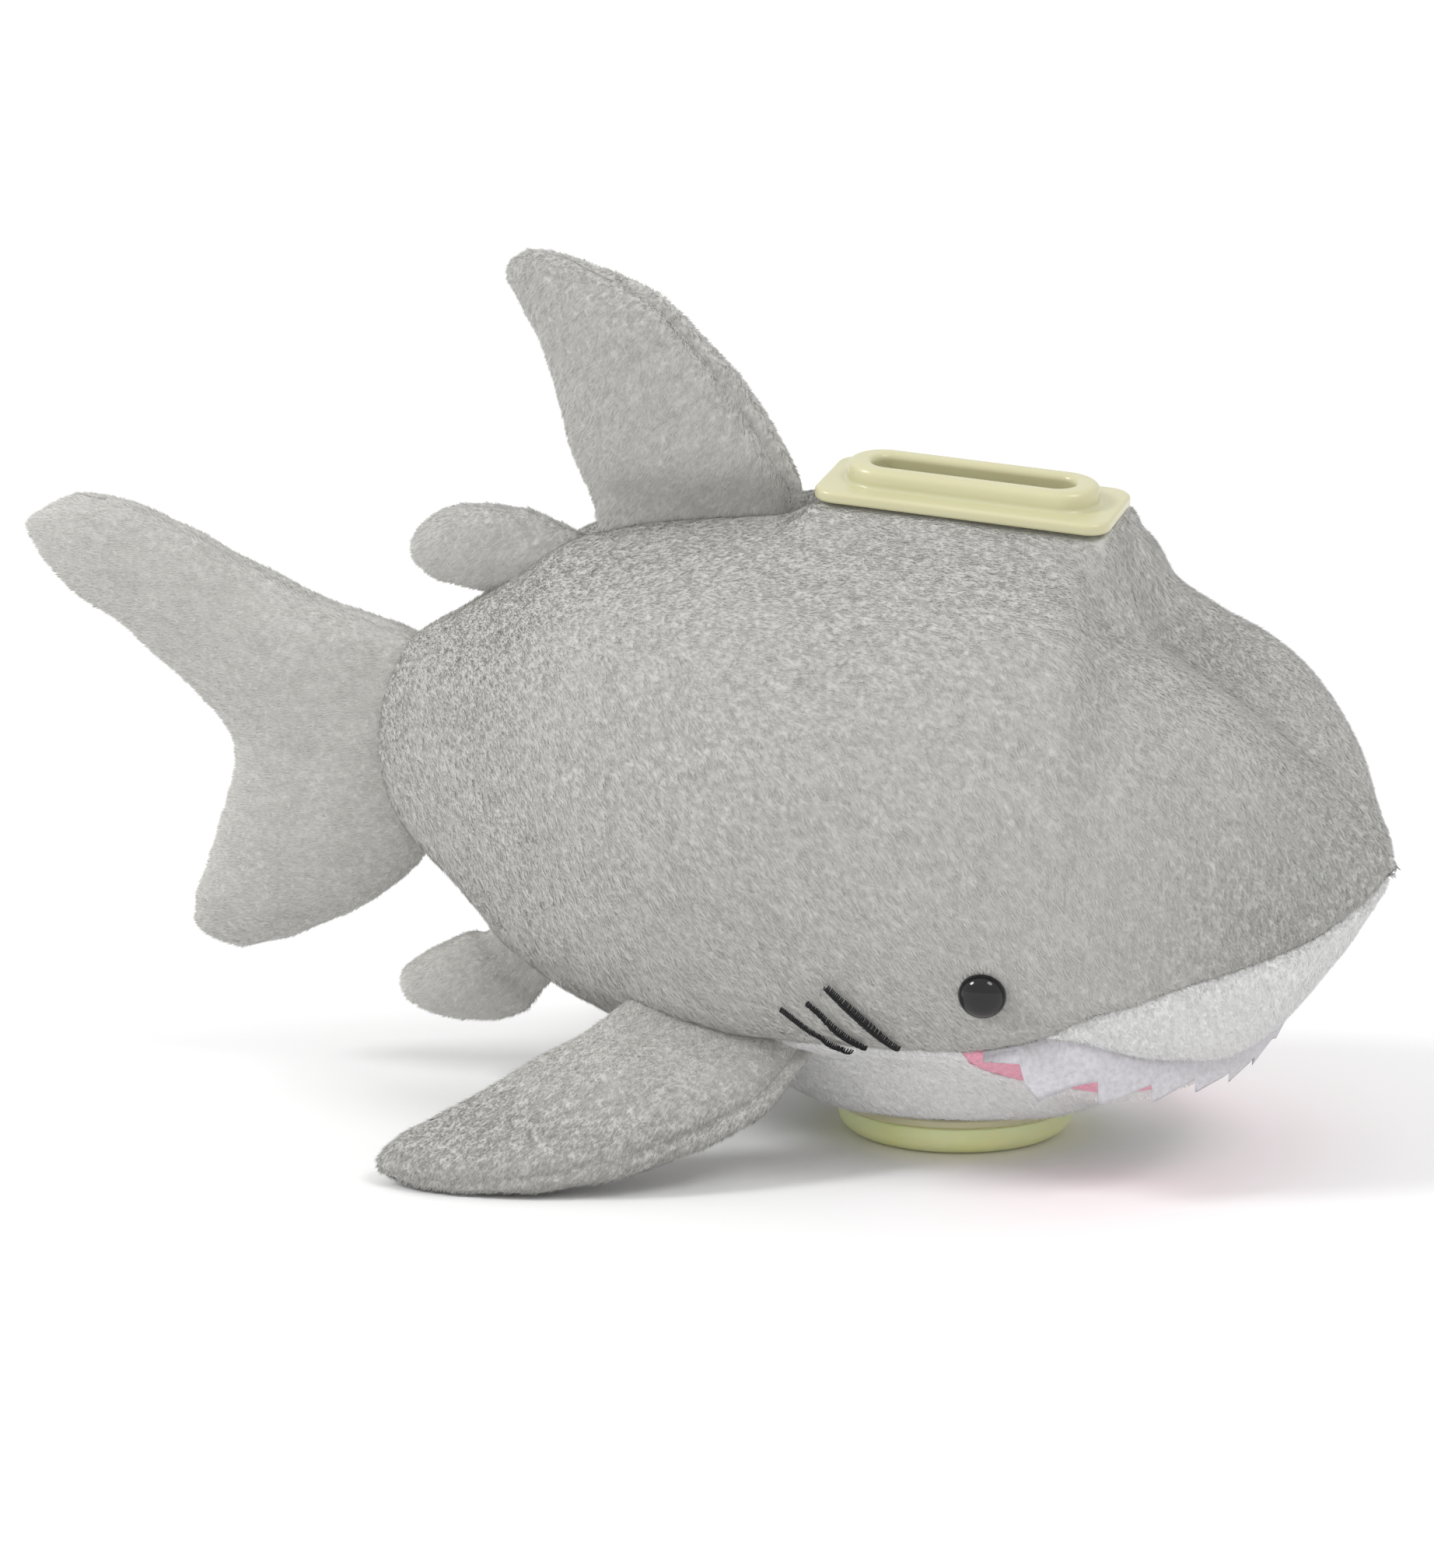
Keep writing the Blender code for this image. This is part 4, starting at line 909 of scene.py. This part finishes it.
def build_fin(label, nodes, rows, bend, comb, seam_turn, seed, spanwise=90,
              around=56, nap=None, stitch=0.75):
    """Both covers of a fin with their pile, bending where the fin is sewn to the body."""
    flat = [(*lead, *trail, thick) for lead, trail, thick in rows]
    count = len(flat) - 1
    u = (np.linspace(0.0, 1.0, spanwise) * count)[:, None] * np.ones((1, around))
    middle = np.array(flat[count // 2][0:3]) / 2 + np.array(flat[count // 2][3:6]) / 2
    centre = bend(middle)
    rise = (np.linspace(0.7, count - 0.8, 30))[:, None] * np.ones((1, 28))
    turn = np.linspace(0.0, 2 * math.pi, 28, endpoint=False)[None, :] * np.ones((30, 1))
    core = bend(fin_surface(flat, rise, turn, 2.6)).reshape(-1, 3)
    filling = add_mesh(f"{label}_filling", core, grid_faces(30, 28, wrap=True), [fibre])
    close_ends(filling)
    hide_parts(nodes[2])
    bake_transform(filling)
    for side, word in ((1, nodes[0]), (-1, nodes[1])):
        share = np.linspace(0.0, 1.0, around)[None, :]
        tilt = seam_turn * smooth((count - u) / (count * 0.6))
        theta = side * math.pi * share + tilt * (1 - share)
        upright = fin_surface(flat, u, theta, 0.0)
        normals = grid_normals(upright, middle)
        height = (0.3 * waves(upright, 16.0, seed) + 0.12 * waves(upright, 6.0, seed + 1)
                  + seam_pull(upright, ("first column", "last column"), stitch, 1.5))
        outer = bend(upright + normals * height[..., None])
        place = np.clip(u, 0.0, count - 0.45)
        inner = bend(fin_surface(flat, place, theta, FIN_SKIN + 0.4))
        for row in (0, -1):
            ends = flat[row]
            outer[row] = bend((np.array(ends[0:3]) + np.array(ends[3:6])) / 2)
        outer_normals = grid_normals(outer, centre)
        skin = shell(f"{word}_skin", outer, inner, grey_cloth)
        tufts = pile(f"{word}_pile", outer, outer_normals, comb, grey_tufts, seed + side + 2,
                     nap=nap)
        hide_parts(word)
        for piece in (skin, tufts):
            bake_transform(piece)


def upright_rows(rows):
    return [((lead[0], 0.0, lead[1]), (trail[0], 0.0, trail[1]), thick)
            for lead, trail, thick in rows]


def unbent(points):
    """The pectoral rows are given as they stand, so nothing leans them."""
    return np.asarray(points, float)


def build_fins():
    # the last entry of each fin is painted light and shade on its pile: the dorsal darker, the
    # anal and tail fins lighter
    middle = (
        ("dorsal_fin", DORSAL, (-0.55, 0.0, -0.8), 0.42, (-42.5, 110.0), (-44.5, 118.0),
         fin_nap(-1.2)),
        ("second_dorsal_fin", SECOND_DORSAL, (-0.7, 0.0, -0.5), 0.0, (-71.5, 100.5),
         (-77.5, 104.0), fin_nap(0.0)),
        ("anal_fin", ANAL, (-0.8, 0.0, -0.5), 0.35, (-79.5, 27.5), (-85.5, 21.0), fin_nap(2.0)),
        ("tail_fin", TAIL, (-0.85, 0.0, 0.05), 0.0, (-99.0, 65.0), (-110.0, 65.0),
         fin_nap(1.6, 0.012, 65.0)),
    )
    for index, (label, rows, comb, seam_turn, start, end, nap) in enumerate(middle):
        nodes = (f"{label}_right", f"{label}_left", f"{label}_stuffing")
        build_fin(label, nodes, upright_rows(rows), lean, comb_towards(*comb), seam_turn,
                  60 + 10 * index, spanwise=130 if label == "tail_fin" else 90, nap=nap)
    left_rows = []
    for step, (lead, trail, thick) in enumerate(PECTORAL):
        share = (1 - max(step - 1, 0) / (len(PECTORAL) - 2)) ** 2
        raised = [(x, -y - LEFT_PECTORAL_SHIFT * share, z + LEFT_PECTORAL_RAISE * share)
                  for x, y, z in (lead, trail)]
        left_rows.append((raised[0], raised[1], thick))
    for word, rows, faces, sign, seed in (("right", PECTORAL, ("lower", "upper"), -1, 101),
                                          ("left", left_rows, ("upper", "lower"), 1, 111)):
        name = f"pectoral_fin_{word}"
        nodes = (f"{name}_{faces[0]}", f"{name}_{faces[1]}", f"{name}_stuffing")
        turn = -0.5 if word == "right" else 0.5
        # the pectoral pile: painted shade low down and painted light above 17 mm
        build_fin(name, nodes, rows, unbent, comb_towards(-0.35, 0.45 * sign, -0.8), turn,
                  seed,
                  nap=fin_nap(-0.8, 0.5, 17.0))


# ---- moulded pieces, eyes and thread ----
def build_plate():
    """The slot plate: one closed moulding swept from its slot over the collar and plate."""
    top = PLATE_THICKNESS + COLLAR_HEIGHT
    slot_radius = SLOT_WIDTH / 2 - 0.01
    rings = []

    def ring(length, width, radius, z):
        outline = rounded_rectangle(length, width, radius)
        rings.append(np.column_stack([outline, np.full(len(outline), z)]))

    def band(length, width, radius, profile):
        for inset, z in profile:
            ring(length - 2 * inset, width - 2 * inset, radius - inset, z)

    band(SLOT_LENGTH, SLOT_WIDTH, slot_radius,
         [(0.0, -SPIGOT_DEPTH), (0.0, -4.0), (0.0, top - 1.3)]
         + [(-x, top - 1.1 + z) for x, z in arc((1.1, 0.0), 1.1, 180, 90)])
    band(COLLAR_LENGTH, COLLAR_WIDTH, COLLAR_WIDTH / 2 - 0.01,
         [(1.4 - x, top - 1.4 + z) for x, z in arc((0.0, 0.0), 1.4, 90, 0)]
         + [(0.0, PLATE_THICKNESS + 0.9)]
         + [(-0.7 + x, PLATE_THICKNESS + 0.7 + z) for x, z in arc((0.0, 0.0), 0.7, 0, -90)])
    band(PLATE_LENGTH, PLATE_WIDTH, PLATE_CORNER,
         [(0.7 - x, PLATE_THICKNESS - 0.7 + z) for x, z in arc((0.0, 0.0), 0.7, 90, 0)]
         + [(0.5 - x, 0.5 + z) for x, z in arc((0.0, 0.0), 0.5, 0, -90, 4)])
    band(SLOT_LENGTH + 2 * SPIGOT_WALL, SLOT_WIDTH + 2 * SPIGOT_WALL,
         SLOT_WIDTH / 2 + SPIGOT_WALL - 0.01, [(0.0, 0.0), (0.0, -0.4), (0.0, -SPIGOT_DEPTH)])
    verts, faces = closed_sweep(rings)
    plate = turn_outward(add_mesh("coin_slot_plate", moved(verts, head_place), faces,
                                  [cream_plastic]))
    plate.data.set_sharp_from_angle(angle=math.radians(50))
    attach(plate, "body")
    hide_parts("slot_plate")


def build_outlet():
    lip = 0.55
    profile = [(NECK_INNER, FLANGE_LOW + 0.3), (NECK_INNER + 0.3, FLANGE_LOW)]
    profile += arc((FLANGE_RADIUS - lip, FLANGE_LOW + lip), lip, -90, 0)
    profile += arc((FLANGE_RADIUS - 0.4, FLANGE_TOP - 0.4), 0.4, 0, 90, 4)
    profile += [(NECK_OUTER + 0.3, FLANGE_TOP), (NECK_OUTER, FLANGE_TOP + 0.3),
                (NECK_OUTER, NECK_TOP - 0.3), (NECK_OUTER - 0.3, NECK_TOP),
                (NECK_INNER + 0.3, NECK_TOP), (NECK_INNER, NECK_TOP - 0.3)]
    ring = lathe("outlet_neck_ring", profile, [cream_plastic], closed=True)
    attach(ring, "body")
    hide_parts("outlet_ring")
    profile = [(0.02, 0.9), (STOPPER_FOOT_RADIUS - 5.0, 0.9), (STOPPER_FOOT_RADIUS - 4.2, 0.0),
               (STOPPER_FOOT_RADIUS - 0.2, 0.0)]
    for k in range(1, 13):
        angle = math.pi / 2 * k / 12
        profile.append((STOPPER_FOOT_RADIUS
                        + (STOPPER_RADIUS - STOPPER_FOOT_RADIUS) * math.sin(angle),
                        3.4 * (1 - math.cos(angle))))
    profile += arc((STOPPER_RADIUS - 0.5, STOPPER_TOP - 0.5), 0.5, 0, 90, 5)
    profile += [(PLUG_RADIUS + 0.4, STOPPER_TOP), (PLUG_RADIUS, STOPPER_TOP + 0.3),
                (PLUG_RADIUS, PLUG_TOP - 0.8), (PLUG_RADIUS - 0.5, PLUG_TOP),
                (PLUG_HOLLOW + 0.2, PLUG_TOP), (PLUG_HOLLOW, PLUG_TOP - 0.3),
                (PLUG_HOLLOW - 0.6, STOPPER_FLOOR + 0.8), (PLUG_HOLLOW - 1.4, STOPPER_FLOOR),
                (0.02, STOPPER_FLOOR)]
    plug = lathe("stopper_plug", profile, [vinyl])
    plug.data.set_sharp_from_angle(angle=math.radians(60))
    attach(plug, "stopper")
    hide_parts("stopper")


def flank_frame(x, z, side):
    """A seat on the flank: a matrix in millimetres whose Z points out of the fabric."""
    here = flank_point(x, z)
    along = flank_point(x + 0.5, z) - here
    up = flank_point(x, z + 0.5) - here
    normal = unit(np.cross(along, up))
    flip = np.array([1.0, side, 1.0])
    base = lean(here * flip)
    out = unit(lean((here + normal * 4.0) * flip) - base)
    turn = Vector((0, 0, 1)).rotation_difference(Vector(out)).to_matrix().to_4x4()
    return Matrix.Translation(Vector(base)) @ turn


def build_eyes():
    """Domed safety eyes with a thin rim that sits on the pile."""
    for side, word in ((1, "right"), (-1, "left")):
        profile = [(0.02, -7.5), (1.5, -7.5), (1.6, -7.2), (1.6, GAP), (EYE_RADIUS - 0.5, GAP)]
        profile += arc((EYE_RADIUS - 0.3, GAP + 0.3), 0.3, -90, 0, 4)
        profile += [(EYE_RADIUS * math.cos(math.pi / 2 * k / 16),
                     GAP + 0.4 + (EYE_HEIGHT - 0.4) * math.sin(math.pi / 2 * k / 16))
                    for k in range(1, 17)]
        dome = lathe(f"eye_dome_{word}", profile, [eye_plastic], segments=64)
        seat = flank_frame(*EYE_AT, side)
        dome.data.transform(Matrix.Scale(1 / MM, 4))
        dome.data.transform(seat)
        dome.data.transform(Matrix.Scale(MM, 4))
        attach(dome, "body")
        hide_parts(f"eye_{word}")


def thread_bundle(name, start, end, side, seed, wide):
    """A line of satin stitch: short threads laid across it, side by side."""
    rng = np.random.default_rng(seed)
    direction = np.array([end[0] - start[0], end[1] - start[1]])
    length = np.linalg.norm(direction)
    direction = direction / length
    across = np.array([-direction[1], direction[0]])
    rings, faces = [], []
    count = int(length / 0.34)
    sides, steps = 6, 7
    for k in range(count):
        s = k / (count - 1)
        half = wide(s) / 2 * rng.uniform(0.85, 1.15)
        centre = np.array(start) + direction * length * s
        slant = direction * 0.5 * half
        base = len(rings) * sides
        for step in range(steps):
            t = -1 + 2 * step / (steps - 1)
            x, z = centre + across * half * t + slant * t
            stand = 0.35 + 0.85 * smooth(half / 0.4)
            rise = stand + 0.5 * math.sqrt(max(1 - t * t, 0.0)) - 0.5 * (abs(t) > 0.9)
            angle = np.arange(sides) * 2 * math.pi / sides
            thin = 0.19 * (0.7 if abs(t) > 0.9 else 1.0)
            ring = [flank_point(x + direction[0] * thin * math.cos(a),
                                z + direction[1] * thin * math.cos(a),
                                -(rise + thin * math.sin(a))) * np.array([1.0, side, 1.0])
                    for a in angle]
            rings.append(lean(np.array(ring)))
        faces.append(grid_faces(steps, sides, base, wrap=True))
    obj = add_mesh(name, np.vstack(rings), np.vstack(faces), [black_thread])
    return turn_outward(obj)


def build_gills():
    widths = (
        lambda s: 0.5 + 0.75 * np.sin(math.pi * np.clip(0.12 + 0.8 * s, 0, 1)),
        lambda s: 0.25 + 0.85 * smooth((s - 0.15) / 0.5) * (1 - 0.5 * s),
        lambda s: 0.16 + 0.6 * smooth((s - 0.55) / 0.25) + 1.1 * smooth((s - 0.93) / 0.05),
    )
    for side, word in ((1, "right"), (-1, "left")):
        for number, (start, end) in enumerate(GILLS, 1):
            stitch = thread_bundle(f"gill_thread_{word}_{number}", start, end, side,
                                   80 + number, widths[number - 1])
            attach(stitch, "body")
            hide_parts(f"gill_stitch_{word}_{number}")


def dress_inner_nodes():
    """Materials for the CAD nodes that stay: the filling, the tank and the fastenings."""
    for name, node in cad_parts.items():
        material = None
        if name == "body_stuffing":
            material = fibre
        elif "washer" in name or "backing" in name or name == "coin_tank":
            material = tank_plastic
        if material is None:
            continue
        node.data.materials.clear()
        node.data.materials.append(material)


# ---- studio ----
def build_studio():
    world = bpy.data.worlds.new("studio")
    world.use_nodes = True
    sky = world.node_tree.nodes["Background"]
    sky.inputs["Color"].default_value = (1.0, 1.0, 1.0, 1.0)
    sky.inputs["Strength"].default_value = SKY_STRENGTH
    bpy.context.scene.world = world
    bpy.context.scene.view_settings.view_transform = "Standard"
    bpy.ops.mesh.primitive_plane_add(size=FLOOR_SIZE, location=(0.0, 0.0, 0.0))
    floor = bpy.context.object
    floor.name = "studio_floor"
    floor.data.materials.append(principled("studio_floor", (FLOOR_GREY,) * 3, 0.9))

    for name, towards, energy, width in SUNS:
        light = bpy.data.lights.new(name, "SUN")
        light.energy = energy
        light.angle = math.radians(width)
        lamp = bpy.data.objects.new(name, light)
        lamp.rotation_euler = Vector(towards).to_track_quat("-Z", "Y").to_euler()
        bpy.context.scene.collection.objects.link(lamp)

    camera_data = bpy.data.cameras.new("camera")
    camera = bpy.data.objects.new("camera", camera_data)
    bpy.context.scene.collection.objects.link(camera)
    azimuth, elevation = math.radians(CAMERA_AZIMUTH), math.radians(CAMERA_ELEVATION)
    back = Vector((math.sin(azimuth) * math.cos(elevation),
                   -math.cos(azimuth) * math.cos(elevation), math.sin(elevation)))
    camera.location = Vector(CAMERA_TARGET) + back * CAMERA_DISTANCE
    camera.rotation_euler = (-back).to_track_quat("-Z", "Y").to_euler()
    camera_data.lens = CAMERA_LENS
    camera_data.sensor_width = CAMERA_SENSOR
    bpy.context.scene.camera = camera


build_studio()
build_body()
build_teeth()
build_fins()
build_plate()
build_outlet()
build_eyes()
build_gills()
dress_inner_nodes()
